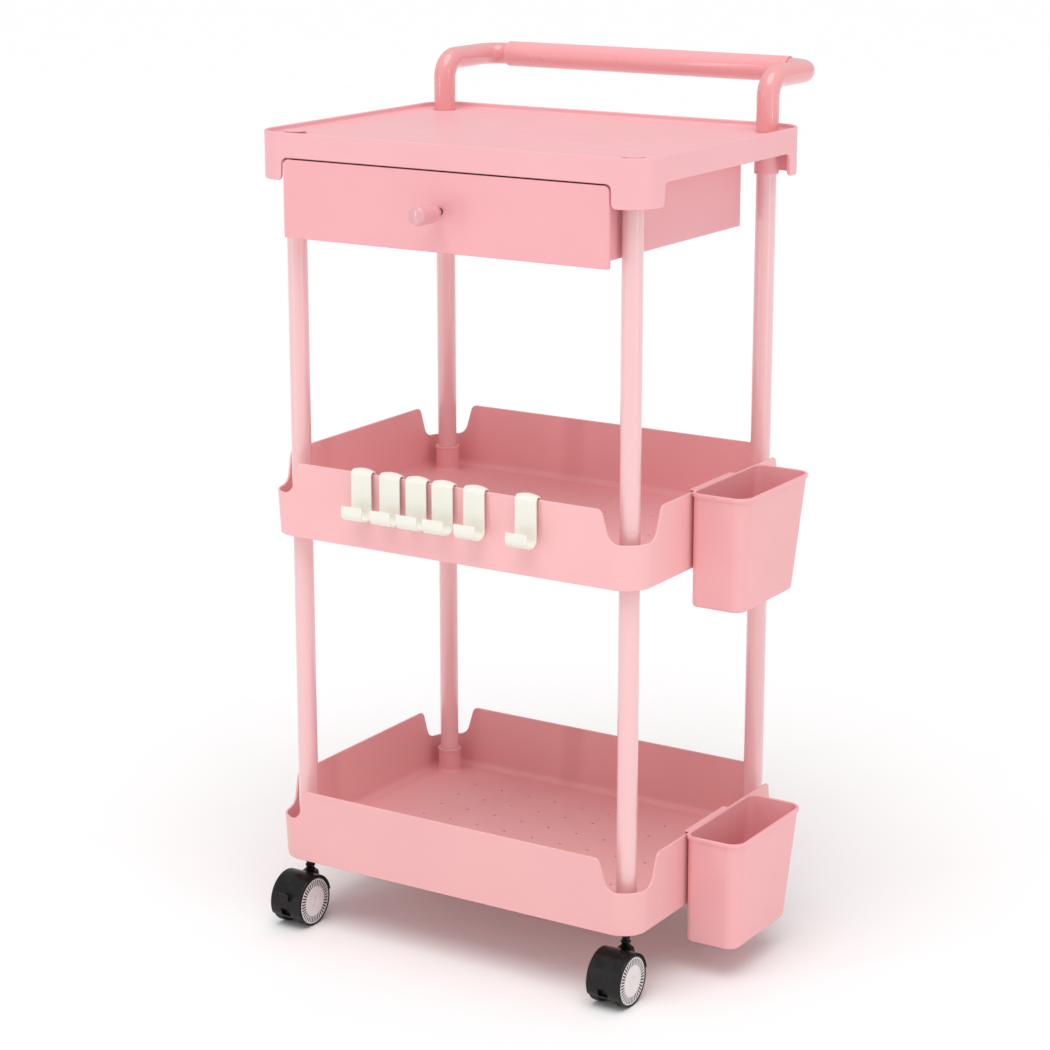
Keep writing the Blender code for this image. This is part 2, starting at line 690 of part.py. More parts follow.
def hook_path():
    """The hook's middle line in Y and Z, from the tab behind the wall to the lip, rim at zero."""
    strap = -HOOK_STANDOFF - HOOK_THICKNESS / 2
    tab = TRAY_WALL + HOOK_TAB_GAP + HOOK_THICKNESS / 2
    crown = (tab - strap) / 2
    inside = crown - HOOK_THICKNESS / 2
    spring = GAP + HOOK_CREST - math.sqrt(inside ** 2 - (TRAY_WALL - (tab + strap) / 2) ** 2)
    foot = GAP + HOOK_THICKNESS - HOOK_HEIGHT + HOOK_THICKNESS / 2
    lip = strap - HOOK_REACH
    path = [(tab, GAP - HOOK_TAB)]
    for index in range(7):
        angle = math.radians(30 * index)
        path.append(((tab + strap) / 2 + crown * math.cos(angle), spring + crown * math.sin(angle)))
    for centre, first in ((strap - HOOK_BEND, 0), (lip + HOOK_BEND, -90)):
        for index in range(5):
            angle = math.radians(first - 22.5 * index)
            height = foot + HOOK_BEND + HOOK_BEND * math.sin(angle)
            path.append((centre + HOOK_BEND * math.cos(angle), height))
    path.append((lip, foot + HOOK_LIP))
    return path


def make_hooks():
    """Six bent strap hooks over the middle tray's front wall."""
    position_y = -TRAY_DEPTH / 2
    rim = MIDDLE_TRAY_Z + TRAY_HEIGHT
    path = hook_path()
    for number, x in enumerate(HOOK_CENTRES_X, start=1):
        position = (x, position_y, rim)
        lift = joint_empty(f"hook_{number}_lift", position)
        bm = strip(path, HOOK_THICKNESS, HOOK_WIDTH / 2, lambda flat, across: (across, flat.x, flat.y))
        add(f"hook_{number}", bm, "hook_cream", position, lift)


# ---- casters -------------------------------------------------------------------------------------
def make_caster(name, x, y):
    """Twin-wheel caster: stem, swivelling hood, axle, two wheels and two hub discs."""
    swivel = joint_empty(f"caster_{name}_swivel", (x, y, 0))
    axle_place = (x, y - TRAIL, WHEEL_RADIUS)
    stem_top = BOTTOM_TRAY_Z + TRAY_FLOOR_RISE - TRAY_FLOOR_THICKNESS - GAP
    stem_low = HOOD_BOSS_TOP - 0.0100
    profile = [(STEM_RADIUS, stem_low), (STEM_RADIUS, stem_top)]
    add(f"caster_{name}_stem", turned(profile, 12), "steel", (x, y, 0), smooth=True)
    make_hood(name, (x, y, 0), axle_place, swivel, stem_low)

    spin = joint_empty(f"caster_{name}_axle_line", axle_place, swivel)
    reach = WHEEL_INNER_X + WHEEL_WIDTH - 0.0030
    axle = turned([(AXLE_RADIUS, -reach), (AXLE_RADIUS, reach)], 12, axis="X")
    add(f"caster_{name}_axle", axle, "steel", axle_place, swivel, smooth=True)
    for side, sign in (("left", -1), ("right", 1)):
        make_wheel(f"{name}_{side}", sign, axle_place, spin)


def make_wheel(label, sign, axle_place, spin):
    """One wheel with a recessed outer face, and the hub disc pressed into the recess."""
    face = WHEEL_INNER_X + WHEEL_WIDTH
    recess = face - 0.0024
    flat = WHEEL_RADIUS / math.cos(math.pi / ROUND_SEGMENTS)
    recess_radius = CAP_DISC_RADIUS + GAP
    bore = AXLE_RADIUS + GAP
    profile = [
        (bore, WHEEL_INNER_X), (flat, WHEEL_INNER_X), (flat, face), (recess_radius, face),
        (recess_radius, recess), (bore, recess),
    ]
    profile = [(radius, sign * along) for radius, along in profile]
    wheel = turned(profile, ROUND_SEGMENTS, closed=True, axis="X")
    add(f"wheel_{label}", wheel, "caster_black", axle_place, spin, smooth=True)
    disc = [(CAP_DISC_RADIUS, recess + GAP), (CAP_DISC_RADIUS, face - 0.0004), (0.0170, face + 0.0003)]
    disc = [(radius, sign * along) for radius, along in disc]
    add(f"hub_{label}", turned(disc, ROUND_SEGMENTS, axis="X"), "hub_white", axle_place, spin, smooth=True)


def make_hood(name, base, axle_place, swivel, stem_low):
    """Shell over both wheels with a middle web, a boss for the stem and a bore for the axle."""
    half = WHEEL_INNER_X + WHEEL_WIDTH
    hood = add(
        f"caster_{name}_hood", turned([(HOOD_RADIUS, -half), (HOOD_RADIUS, half)], 24, axis="X"),
        "caster_black", axle_place, swivel, smooth=True)
    web = WHEEL_INNER_X - 2 * GAP
    wells = combined([
        turned([(HOOD_WELL_RADIUS, sign * web), (HOOD_WELL_RADIUS, sign * (half + 0.01))], 24, axis="X")
        for sign in (-1, 1)
    ])
    shape_with(hood, wells, "DIFFERENCE", axle_place, swivel)
    boss = turned([(HOOD_BOSS_RADIUS, WHEEL_RADIUS + 0.004), (HOOD_BOSS_RADIUS, HOOD_BOSS_TOP)], 16)
    shape_with(hood, boss, "UNION", base, swivel)
    beyond = HOOD_RADIUS + 0.012
    open_foot = block((-beyond, -beyond, -beyond), (beyond, beyond, -HOOD_FOOT_DROP))
    shape_with(hood, open_foot, "DIFFERENCE", axle_place, swivel)
    open_back = block((-beyond, 0.0, -beyond), (beyond, beyond, 0.0))
    shape_with(hood, open_back, "DIFFERENCE", axle_place, swivel)
    axle_bore = turned([(AXLE_RADIUS + GAP, -0.03), (AXLE_RADIUS + GAP, 0.03)], 12, axis="X")
    shape_with(hood, axle_bore, "DIFFERENCE", axle_place, swivel)
    stem_bore = turned([(STEM_RADIUS + GAP, stem_low - GAP), (STEM_RADIUS + GAP, 0.08)], 12)
    shape_with(hood, stem_bore, "DIFFERENCE", base, swivel)


def make_brake(name, x, y):
    """Small lever on the hood's nose; its hinge runs across the nose at the lever's foot."""
    pivot = (x, y - TRAIL - HOOD_RADIUS - BRAKE_STANDOFF, WHEEL_RADIUS + BRAKE_RISE)
    hinge = joint_empty(f"caster_{name}_brake_hinge", pivot)
    path = [(0.0, 0.0), (0.0, 0.0080), (-0.0050, 0.0110)]
    lever = strip(path, BRAKE_THICKNESS, BRAKE_HALF_WIDTH, lambda flat, across: (across, flat.x, flat.y))
    add(f"caster_{name}_brake", lever, "caster_black", pivot, hinge)


def main():
    """Build the whole trolley."""
    clear_objects()
    make_trays()
    make_posts()
    make_post_caps()
    make_handle()
    make_drawer_housing()
    make_drawer()
    make_cup("cup_upper", MIDDLE_TRAY_Z)
    make_cup("cup_lower", BOTTOM_TRAY_Z)
    make_hooks()
    for name, (x, y) in POSTS.items():
        make_caster(name, x, y)
    for name in BRAKED:
        make_brake(name, *POSTS[name])


main()
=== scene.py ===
"""Looks of the rolling spa trolley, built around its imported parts.

Metres, +Z up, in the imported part's own frame. Shapes are measured from the middle of the four
posts; CENTRE takes them to the part's frame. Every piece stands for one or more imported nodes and
moves with their body.
"""
import math

import bmesh
import bpy
from mathutils import Matrix, Vector


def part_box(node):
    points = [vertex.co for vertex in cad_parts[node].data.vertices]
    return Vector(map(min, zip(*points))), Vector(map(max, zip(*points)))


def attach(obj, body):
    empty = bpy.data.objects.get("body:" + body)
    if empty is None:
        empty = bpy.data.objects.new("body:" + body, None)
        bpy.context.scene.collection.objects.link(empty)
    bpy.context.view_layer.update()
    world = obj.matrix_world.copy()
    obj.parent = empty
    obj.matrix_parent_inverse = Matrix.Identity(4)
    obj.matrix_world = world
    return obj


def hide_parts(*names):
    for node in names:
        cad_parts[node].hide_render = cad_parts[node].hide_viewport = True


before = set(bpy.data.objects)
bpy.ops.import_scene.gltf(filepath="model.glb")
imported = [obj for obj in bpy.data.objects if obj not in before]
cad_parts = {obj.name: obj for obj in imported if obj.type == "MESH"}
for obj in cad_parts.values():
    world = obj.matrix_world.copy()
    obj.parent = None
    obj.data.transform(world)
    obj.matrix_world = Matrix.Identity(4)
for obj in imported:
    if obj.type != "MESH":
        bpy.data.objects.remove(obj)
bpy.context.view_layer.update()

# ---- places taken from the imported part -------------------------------
PLACES = ("fl", "fr", "rl", "rr")


def middle(node):
    """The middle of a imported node's box."""
    low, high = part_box(node)
    return (low + high) / 2


POST_MIDDLES = {place: middle(f"post_lower_{place}") for place in PLACES}
CENTRE = sum(POST_MIDDLES.values(), Vector()) / len(PLACES)
CENTRE.z = 0.0
POSTS = {place: (at.x - CENTRE.x, at.y - CENTRE.y) for place, at in POST_MIDDLES.items()}
TOP_LOW, TOP_HIGH = (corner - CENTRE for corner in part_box("top_tray"))
MIDDLE_LOW, MIDDLE_HIGH = (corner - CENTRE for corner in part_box("middle_tray"))
BOTTOM_LOW, BOTTOM_HIGH = (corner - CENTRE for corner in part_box("bottom_tray"))
FRONT_LOW, FRONT_HIGH = (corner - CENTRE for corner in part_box("drawer_front"))
BOX_LOW, BOX_HIGH = (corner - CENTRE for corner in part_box("drawer_box"))
KNOB_LOW, KNOB_HIGH = (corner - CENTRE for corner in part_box("drawer_knob"))
SCREW_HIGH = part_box("knob_screw")[1] - CENTRE
HANDLE_LOW, HANDLE_HIGH = (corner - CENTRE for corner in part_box("handle_tube"))
GRIP_LOW, GRIP_HIGH = (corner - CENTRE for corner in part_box("handle_grip"))

# ---- lengths of the moulded parts ------------------------------------
CORNER_RADIUS = 0.030
ARC_HALF = CORNER_RADIUS * math.pi / 4
TOP_SURFACE = TOP_HIGH.z - 0.0055
TOP_THICKNESS = 0.0025
TOP_SKIRT = 0.7980      # height of the skirt's lower edge
TOP_WALL = 0.0030
TOP_FILLET = 0.0025
TOP_ROUNDING = 0.0011
LOBE_FRONT = 0.034
LOBE_SIDE = 0.038
LOBE_TIP_FILLET = 0.004
LOBE_ROOT_FILLET = 0.006
LOBE_STEP = 0.0005      # straight run between a lobe's two fillets
SEAT_DEPTH = 0.0005
SEAT_RADIUS = 0.0116

TRAY_HEIGHT = MIDDLE_HIGH.z - MIDDLE_LOW.z
BOTTOM_EDGE = BOTTOM_HIGH.z - TRAY_HEIGHT
TRAY_TAPER = 0.004
TRAY_WALL = 0.0022
TRAY_ROUNDING = 0.0010
FLOOR_RISE = 0.011
FLOOR_THICKNESS = 0.0025
FLOOR_FILLET = 0.007
SOCKET_RISE = 0.037
SOCKET_RADIUS = 0.0122
POST_RADIUS = 0.010
POST_WALL = 0.0012
BORE_RADIUS = 0.0102
NOTCH_DEPTH = 0.033
NOTCH_REACH_FRONT = 0.040
NOTCH_REACH_SIDE = 0.044
NOTCH_FOOT_RADIUS = 0.014
NOTCH_SHOULDER_RADIUS = 0.007
NOTCH_SLOPE = 75.0      # degrees
DRAIN_PITCH = 0.034
DRAIN_RADIUS = 0.0016
RIB_HALF_WIDTH = 0.0009
RIB_SPACING = 0.085
SHEET = 0.0018
CLEAR = 0.0003          # gap between neighbouring parts


# ---- mesh building blocks --------------------------------------------
def loft(rings, closed=False):
    """Skin a row of rings; close it with end faces, or join the last ring to the first."""
    bm = bmesh.new()
    rows = [[bm.verts.new(point) for point in ring] for ring in rings]
    pairs = list(zip(rows, rows[1:]))
    if closed:
        pairs.append((rows[-1], rows[0]))
    for low, high in pairs:
        for index in range(len(low)):
            following = (index + 1) % len(low)
            bm.faces.new((low[index], low[following], high[following], high[index]))
    if not closed:
        bm.faces.new(rows[0])
        bm.faces.new(rows[-1])
    return bm


def turned(profile, segments=48, closed=False, axis="Z"):
    """Turn a (radius, height) profile about Z, or about X for wheels."""
    rings = []
    for radius, height in profile:
        ring = []
        for index in range(segments):
            angle = math.tau * (index + 0.5) / segments
            point = (radius * math.cos(angle), radius * math.sin(angle), height)
            ring.append(point if axis == "Z" else (point[2], point[0], point[1]))
        rings.append(ring)
    return loft(rings, closed)


def bore(radius, low, high, segments=48, axis="Z"):
    """A plain cylinder between two heights, for cutting."""
    return turned([(radius, low), (radius, high)], segments, axis=axis)


def block(low, high):
    """A box between two corners, for cutting."""
    bm = bmesh.new()
    size = [top - bottom for bottom, top in zip(low, high)]
    centre = [(top + bottom) / 2 for bottom, top in zip(low, high)]
    bmesh.ops.create_cube(bm, size=1.0, matrix=Matrix.Translation(centre) @ Matrix.Diagonal((*size, 1.0)))
    return bm


def moved(bm, offset):
    """The same shape, shifted."""
    bmesh.ops.translate(bm, verts=bm.verts, vec=offset)
    return bm


def combined(parts):
    """Several closed shapes in one bmesh."""
    whole = bmesh.new()
    for part in parts:
        mesh = bpy.data.meshes.new("part")
        part.to_mesh(mesh)
        part.free()
        whole.from_mesh(mesh)
        bpy.data.meshes.remove(mesh)
    return whole


def at_posts(make, names=PLACES):
    """One copy of a shape at each named post."""
    return combined([moved(make(), (*POSTS[name], 0.0)) for name in names])


def mesh_object(name, bm):
    """A linked object from a bmesh."""
    bmesh.ops.recalc_face_normals(bm, faces=bm.faces)
    mesh = bpy.data.meshes.new(name)
    bm.to_mesh(mesh)
    bm.free()
    item = bpy.data.objects.new(name, mesh)
    bpy.context.scene.collection.objects.link(item)
    return item


def apply_modifiers(item):
    """Replace an object's mesh by the one its modifiers make."""
    bpy.context.view_layer.update()
    seen = item.evaluated_get(bpy.context.evaluated_depsgraph_get())
    made = bpy.data.meshes.new_from_object(seen)
    item.modifiers.clear()
    old = item.data
    item.data = made
    bpy.data.meshes.remove(old)


def carve(item, steps):
    """Join or cut an object with a row of (operation, bmesh) tools."""
    tools = []
    for number, (operation, bm) in enumerate(steps):
        tool = mesh_object(f"tool_{number}", bm)
        modifier = item.modifiers.new(f"step_{number}", "BOOLEAN")
        modifier.operation = operation
        modifier.solver = "EXACT"
        modifier.object = tool
        tools.append(tool)
    apply_modifiers(item)
    for tool in tools:
        mesh = tool.data
        bpy.data.objects.remove(tool, do_unlink=True)
        bpy.data.meshes.remove(mesh)


def shade(item, angle=35.0):
    """Smooth the surface between its creases, with flat faces kept flat."""
    item.data.shade_smooth()
    item.data.set_sharp_from_angle(angle=math.radians(angle))
    item.modifiers.new("flat", "WEIGHTED_NORMAL").keep_sharp = True
    apply_modifiers(item)


def shaded(name, bm, angle=35.0):
    """A shaded object from a bmesh, to be placed more than once."""
    item = mesh_object(name, bm)
    shade(item, angle)
    return item


def finish_piece(item, finish, body, nodes, at=None, angle=35.0):
    """Shade, colour and place a piece, and hide the imported nodes it stands for."""
    if angle:
        shade(item, angle)
    item.data.materials.clear()
    item.data.materials.append(MATERIALS[finish])
    item.location = Vector(at or (0.0, 0.0, 0.0)) + CENTRE
    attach(item, body)
    if nodes:
        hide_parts(*nodes)
    return item


def copy_of(item, name):
    """Another object that shows the same mesh, or the object itself under its own name."""
    if item.name == name:
        return item
    twin = bpy.data.objects.new(name, item.data)
    bpy.context.scene.collection.objects.link(twin)
    return twin


def rounded_path(corners, radius, steps):
    """A path through corner points, with an arc at each inner corner."""
    points = [Vector(corners[0])]
    for before, corner, after in zip(corners, corners[1:], corners[2:]):
        corner = Vector(corner)
        back = (Vector(before) - corner).normalized()
        ahead = (Vector(after) - corner).normalized()
        half_angle = back.angle(ahead) / 2
        reach = radius / math.tan(half_angle)
        centre = corner + (back + ahead).normalized() * (radius / math.sin(half_angle))
        start = corner + back * reach - centre
        end = corner + ahead * reach - centre
        turn = start.angle(end)
        for index in range(steps + 1):
            share = index / steps
            blend = start * math.sin((1 - share) * turn) + end * math.sin(share * turn)
            points.append(centre + blend / math.sin(turn))
    points.append(Vector(corners[-1]))
    return points


def swept(path, radii, sides):
    """Circles carried along a path without twisting; radii has one radius for each point."""
    rings = []
    side = Vector((1.0, 0.0, 0.0))
    for index, point in enumerate(path):
        ahead = path[min(index + 1, len(path) - 1)] - path[max(index - 1, 0)]
        ahead.normalize()
        side = (side - ahead * side.dot(ahead)).normalized()
        other = ahead.cross(side)
        ring = []
        for spoke in range(sides):
            angle = math.tau * spoke / sides
            ring.append(point + (side * math.cos(angle) + other * math.sin(angle)) * radii[index])
        rings.append(ring)
    return rings


def arc(centre, radius, first, last, steps):
    """Points of an arc in a plane, in degrees."""
    points = []
    for index in range(steps + 1):
        angle = math.radians(first + (last - first) * index / steps)
        points.append((centre[0] + radius * math.cos(angle), centre[1] + radius * math.sin(angle)))
    return points


def strip(path, across, width, thickness, edge, crown=0.0, dome=0.0):
    """A bent strip along (y, z, share) points, thinner at its edges and ends.

    across holds steps over the width from -1 to 1; crown bows the middle in Y by its share, and
    dome lifts it where the share is about a half.
    """
    rings = []
    for index, (y, z, share) in enumerate(path):
        before = path[max(index - 1, 0)]
        after = path[min(index + 1, len(path) - 1)]
        ahead = Vector((after[0] - before[0], after[1] - before[1])).normalized()
        normal = Vector((-ahead.y, ahead.x))
        thick = thickness * (0.6 if index in (0, len(path) - 1) else 1.0)
        sides = ([], [])
        for step in across:
            reach = thick / 2 * (edge if abs(step) == 1.0 else 1.0)
            swell = 1 - step * step
            bow = share * crown * swell
            rise = dome * min(1.0, 2 * share) * min(1.0, 2 - 2 * share) * swell
            for side, sign in zip(sides, (1, -1)):
                side.append((step * width / 2, y + bow + normal.x * reach * sign,
                             z + rise + normal.y * reach * sign))
        rings.append(sides[0] + sides[1][::-1])
    return loft(rings)


# ---- materials -------------------------------------------------------
NOISE_LOW, NOISE_HIGH = 0.3, 0.7      # the span that most of a noise texture's values fill
DRIFT_SCALE = 7.0
SHEEN_SCALE = 45.0


def noise_node(nodes, links, coordinates, scale, detail):
    """A noise texture over the object's own coordinates."""
    node = nodes.new("ShaderNodeTexNoise")
    node.inputs["Scale"].default_value = scale
    node.inputs["Detail"].default_value = detail
    links.new(coordinates, node.inputs["Vector"])
    return node


def mapped(nodes, links, source, low, high, source_low=NOISE_LOW, source_high=NOISE_HIGH):
    """A noise value stretched to a range."""
    node = nodes.new("ShaderNodeMapRange")
    node.inputs["From Min"].default_value = source_low
    node.inputs["From Max"].default_value = source_high
    node.inputs["To Min"].default_value = low
    node.inputs["To Max"].default_value = high
    links.new(source, node.inputs["Value"])
    return node.outputs["Result"]


def surface(name, colour, tone, roughness, grain, coat=0.0, metallic=0.0, stretch=None, speck=None,
            glow=None, shine=0.5):
    """A finish with drifting tone, uneven gloss and a fine grain.

    tone is how far the colour drifts, roughness is (low, high), grain is (size, depth) in metres,
    stretch draws the grain out along the axes, speck is (colour, size, amount), glow is how
    far light sinks in and shine is how strongly the surface mirrors.
    """
    made = bpy.data.materials.new(name)
    made.use_nodes = True
    nodes, links = made.node_tree.nodes, made.node_tree.links
    shader = nodes["Principled BSDF"]
    shader.inputs["Metallic"].default_value = metallic
    shader.inputs["Coat Weight"].default_value = coat
    shader.inputs["Specular IOR Level"].default_value = shine
    shader.inputs["Coat Roughness"].default_value = 0.04
    if glow:
        shader.inputs["Subsurface Weight"].default_value = glow
        shader.inputs["Subsurface Radius"].default_value = (0.010, 0.004, 0.003)
        shader.inputs["Subsurface Scale"].default_value = 0.4
    coordinates = nodes.new("ShaderNodeTexCoord").outputs["Object"]
    if stretch:
        mapping = nodes.new("ShaderNodeMapping")
        mapping.inputs["Scale"].default_value = stretch
        links.new(coordinates, mapping.inputs["Vector"])
        grain_coordinates = mapping.outputs["Vector"]
    else:
        grain_coordinates = coordinates
    drift = noise_node(nodes, links, coordinates, DRIFT_SCALE, 3.0)
    ramp = nodes.new("ShaderNodeValToRGB")
    darker, lighter = ramp.color_ramp.elements
    darker.position, lighter.position = NOISE_LOW, NOISE_HIGH
    darker.color = (*(part * (1 - tone) for part in colour), 1.0)
    lighter.color = (*(min(part * (1 + tone), 1.0) for part in colour), 1.0)
    links.new(drift.outputs["Fac"], ramp.inputs["Fac"])
    tint = ramp.outputs["Color"]
    if speck:
        speck_colour, size, amount = speck
        dust = noise_node(nodes, links, grain_coordinates, 1 / size, 4.0)
        mix = nodes.new("ShaderNodeMix")
        mix.data_type = "RGBA"
        links.new(mapped(nodes, links, dust.outputs["Fac"], 0.0, amount, 0.56, 0.72), mix.inputs["Factor"])
        links.new(tint, mix.inputs["A"])
        mix.inputs["B"].default_value = (*speck_colour, 1.0)
        tint = mix.outputs["Result"]
    links.new(tint, shader.inputs["Base Color"])
    sheen = noise_node(nodes, links, coordinates, SHEEN_SCALE, 4.0)
    links.new(mapped(nodes, links, sheen.outputs["Fac"], *roughness), shader.inputs["Roughness"])
    size, depth = grain
    grains = noise_node(nodes, links, grain_coordinates, 1 / size, 3.0)
    bump = nodes.new("ShaderNodeBump")
    bump.inputs["Strength"].default_value = 0.6
    bump.inputs["Distance"].default_value = depth
    links.new(grains.outputs["Fac"], bump.inputs["Height"])
    links.new(bump.outputs["Normal"], shader.inputs["Normal"])
    return made


def moulded(name, colour, roughness=(0.36, 0.46)):
    """Satin moulded plastic with a fine grain."""
    return surface(name, colour, 0.02, roughness, (0.0007, 0.00003))


MATERIALS = {
    "tabletop": moulded("tabletop_plastic", (0.90, 0.46, 0.49)),
    "drawer": moulded("drawer_plastic", (0.89, 0.42, 0.45)),
    # painted light: the middle tray is the same pink plastic as the others, made lighter here to offset the
    # shade the top tray casts on it
    "middle": moulded("middle_tray_plastic_painted_lighter", (0.94, 0.50, 0.51)),
    "bottom": moulded("bottom_tray_plastic", (0.86, 0.45, 0.455)),
    "bin": moulded("bin_plastic", (0.90, 0.44, 0.455), (0.34, 0.44)),
    "tube": surface("tube_coat", (0.90, 0.55, 0.56), 0.015, (0.16, 0.22), (0.0040, 0.000008), coat=0.6),
    "handle": surface("handle_coat", (0.85, 0.35, 0.36), 0.02, (0.16, 0.22), (0.0040, 0.000008), coat=0.5),
    "grip": surface("grip_sleeve", (0.91, 0.40, 0.415), 0.025, (0.26, 0.34), (0.0030, 0.000015), coat=0.2),
    "knob": surface("knob_plastic", (0.75, 0.375, 0.405), 0.03, (0.20, 0.30), (0.0012, 0.00002), coat=0.5,
                    glow=0.25),
    "hook": surface("hook_plastic", (0.86, 0.85, 0.765), 0.012, (0.26, 0.36), (0.0008, 0.00002), coat=0.2),
    "black": surface("caster_plastic", (0.010, 0.009, 0.009), 0.15, (0.22, 0.34), (0.0006, 0.00004),
                     speck=((0.03, 0.027, 0.027), 0.012, 0.35), shine=0.22),
    "tread": surface("wheel_tread", (0.014, 0.013, 0.013), 0.2, (0.45, 0.60), (0.0005, 0.00006),
                     speck=((0.05, 0.045, 0.04), 0.006, 0.5), shine=0.25),
    "hub": surface("hub_plastic", (0.78, 0.74, 0.74), 0.02, (0.30, 0.42), (0.0008, 0.00003),
                   speck=((0.62, 0.58, 0.58), 0.005, 0.25)),
    "stem": surface("stem_steel", (0.03, 0.03, 0.03), 0.15, (0.20, 0.34), (0.0006, 0.00003), metallic=1.0,
                    stretch=(1.0, 1.0, 0.12)),
    "steel": surface("zinc_steel", (0.46, 0.45, 0.44), 0.08, (0.24, 0.40), (0.0005, 0.00003), metallic=1.0,
                     stretch=(0.1, 1.0, 1.0)),
}


# ---- trays -----------------------------------------------------------
def corner_outline(width, depth, radius, stations):
    """Points of a rounded rectangle, as (point, outward normal, station).

    A station is the distance along the wall from the corner's middle: below zero towards the
    front or back wall, above zero towards the side wall.
    """
    outline = []
    arc_half = radius * math.pi / 4
    for sign_x, sign_y in ((1, 1), (-1, 1), (-1, -1), (1, -1)):
        for station in sorted(stations, reverse=sign_x * sign_y > 0):
            if abs(station) <= arc_half + 1e-9:
                angle = math.pi / 4 - station / radius
                normal = Vector((math.cos(angle), math.sin(angle)))
                point = Vector((width / 2 - radius, depth / 2 - radius)) + normal * radius
            elif station > 0:
                normal = Vector((1.0, 0.0))
                point = Vector((width / 2, depth / 2 - radius - station + arc_half))
            else:
                normal = Vector((0.0, 1.0))
                point = Vector((width / 2 - radius + station + arc_half, depth / 2))
            flip = Vector((sign_x, sign_y))
            outline.append((point * flip, normal * flip, station))
    return outline


def edge_rings(edge, wall, radius, direction):
    """(inset, height) pairs that round a wall's free edge, from its outside to its inside."""
    steps = 3
    pairs = []
    for centre, first in ((radius, 180), (wall - radius, 90)):
        for index in range(steps + 1):
            angle = math.radians(first - 90 * index / steps)
            drop = direction * radius * (1 - math.sin(angle))
            pairs.append((centre + radius * math.cos(angle), lambda station, d=drop: edge(station) - d))
    return pairs


def shell(size, radius, stations, low_edge, high_edge, floor, thickness, wall, taper, fillet, rounding):
    """A moulded tray: a tapered wall with rounded edges above and below a filleted floor.

    low_edge and high_edge give the wall's lower and upper edge at a station.
    """
    outline = corner_outline(*size, radius, stations)
    low_level = min(low_edge(station) for station in stations)
    high_level = max(high_edge(station) for station in stations)

    def ring(inset, height):
        points = []
        for point, normal, station in outline:
            level = height(station)
            lean = taper * (high_level - level) / (high_level - low_level)
            spot = point - normal * (lean + inset)
            points.append((spot.x, spot.y, level))
        return points

    rings = [ring(wall, lambda station: floor - thickness)]
    rings += [ring(*pair) for pair in reversed(edge_rings(low_edge, wall, rounding, -1))]
    rings += [ring(*pair) for pair in edge_rings(high_edge, wall, rounding, 1)]
    for across, up in arc((wall + fillet, floor + fillet), fillet, 180, 270, 5):
        rings.append(ring(across, lambda station, u=up: u))
    return loft(rings)


def arc_stations(arc_half, steps):
    """Stations spread evenly over a corner's arc."""
    return {arc_half * index / steps for index in range(-steps, steps + 1)}


def lobe_edge(station):
    """Height of the top tray's lower edge: deep at a corner, stepping up to the skirt."""
    width = LOBE_SIDE if station > 0 else LOBE_FRONT
    tip = ARC_HALF + width - CORNER_RADIUS
    along = abs(station)
    root = tip + LOBE_STEP
    if along <= tip - LOBE_TIP_FILLET:
        return TOP_LOW.z
    if along <= tip + 1e-9:
        sine = min(max(1 - (tip - along) / LOBE_TIP_FILLET, 0.0), 1.0)
        return TOP_LOW.z + LOBE_TIP_FILLET * (1 - math.sqrt(1 - sine * sine))
    cosine = min(max(1 - (along - root) / LOBE_ROOT_FILLET, 0.0), 1.0)
    return TOP_SKIRT - LOBE_ROOT_FILLET * (1 - math.sqrt(1 - cosine * cosine))


def lobe_stations():
    """Stations of the top tray, close together where its lower edge bends."""
    stations = arc_stations(ARC_HALF, 9)
    for sign, width in ((-1, LOBE_FRONT), (1, LOBE_SIDE)):
        tip = ARC_HALF + width - CORNER_RADIUS
        for index in range(9):
            angle = math.radians(90 * index / 8)
            stations.add(sign * (tip - LOBE_TIP_FILLET * (1 - math.sin(angle))))
            stations.add(sign * (tip + LOBE_STEP + LOBE_ROOT_FILLET * (1 - math.cos(angle))))
    return sorted(stations)


def top_socket():
    """Collar under the tabletop, with a thicker foot ring and a lead-in at its mouth."""
    low, high = TOP_LOW.z, TOP_SURFACE - 0.0008
    profile = [(SOCKET_RADIUS - 0.0006, low), (SOCKET_RADIUS, low + 0.0008), (SOCKET_RADIUS, low + 0.018)]
    profile += [(SOCKET_RADIUS + 0.0004, low + 0.030), (SOCKET_RADIUS + 0.0016, high)]
    return turned(profile)


def make_top_tray():
    """Recessed tabletop with a low rounded rim, a skirt with deeper corner lobes, and four collars."""
    size = (TOP_HIGH.x - TOP_LOW.x, TOP_HIGH.y - TOP_LOW.y)
    bm = shell(size, CORNER_RADIUS, lobe_stations(), lobe_edge, lambda station: TOP_HIGH.z,
               TOP_SURFACE, TOP_THICKNESS, TOP_WALL, 0.0, TOP_FILLET, TOP_ROUNDING)
    tray = mesh_object("look_top_tray", bm)
    under = TOP_SURFACE - TOP_THICKNESS
    carve(tray, [
        ("UNION", at_posts(top_socket)),
        ("DIFFERENCE", at_posts(lambda: bore(BORE_RADIUS, TOP_LOW.z - 0.01, under), ("fl", "fr"))),
        ("DIFFERENCE", at_posts(lambda: bore(BORE_RADIUS, TOP_LOW.z - 0.01, TOP_HIGH.z), ("rl", "rr"))),
        ("DIFFERENCE", at_posts(lambda: bore(SEAT_RADIUS, TOP_SURFACE - SEAT_DEPTH, TOP_HIGH.z))),
    ])
    finish_piece(tray, "tabletop", "frame", ["top_tray"])


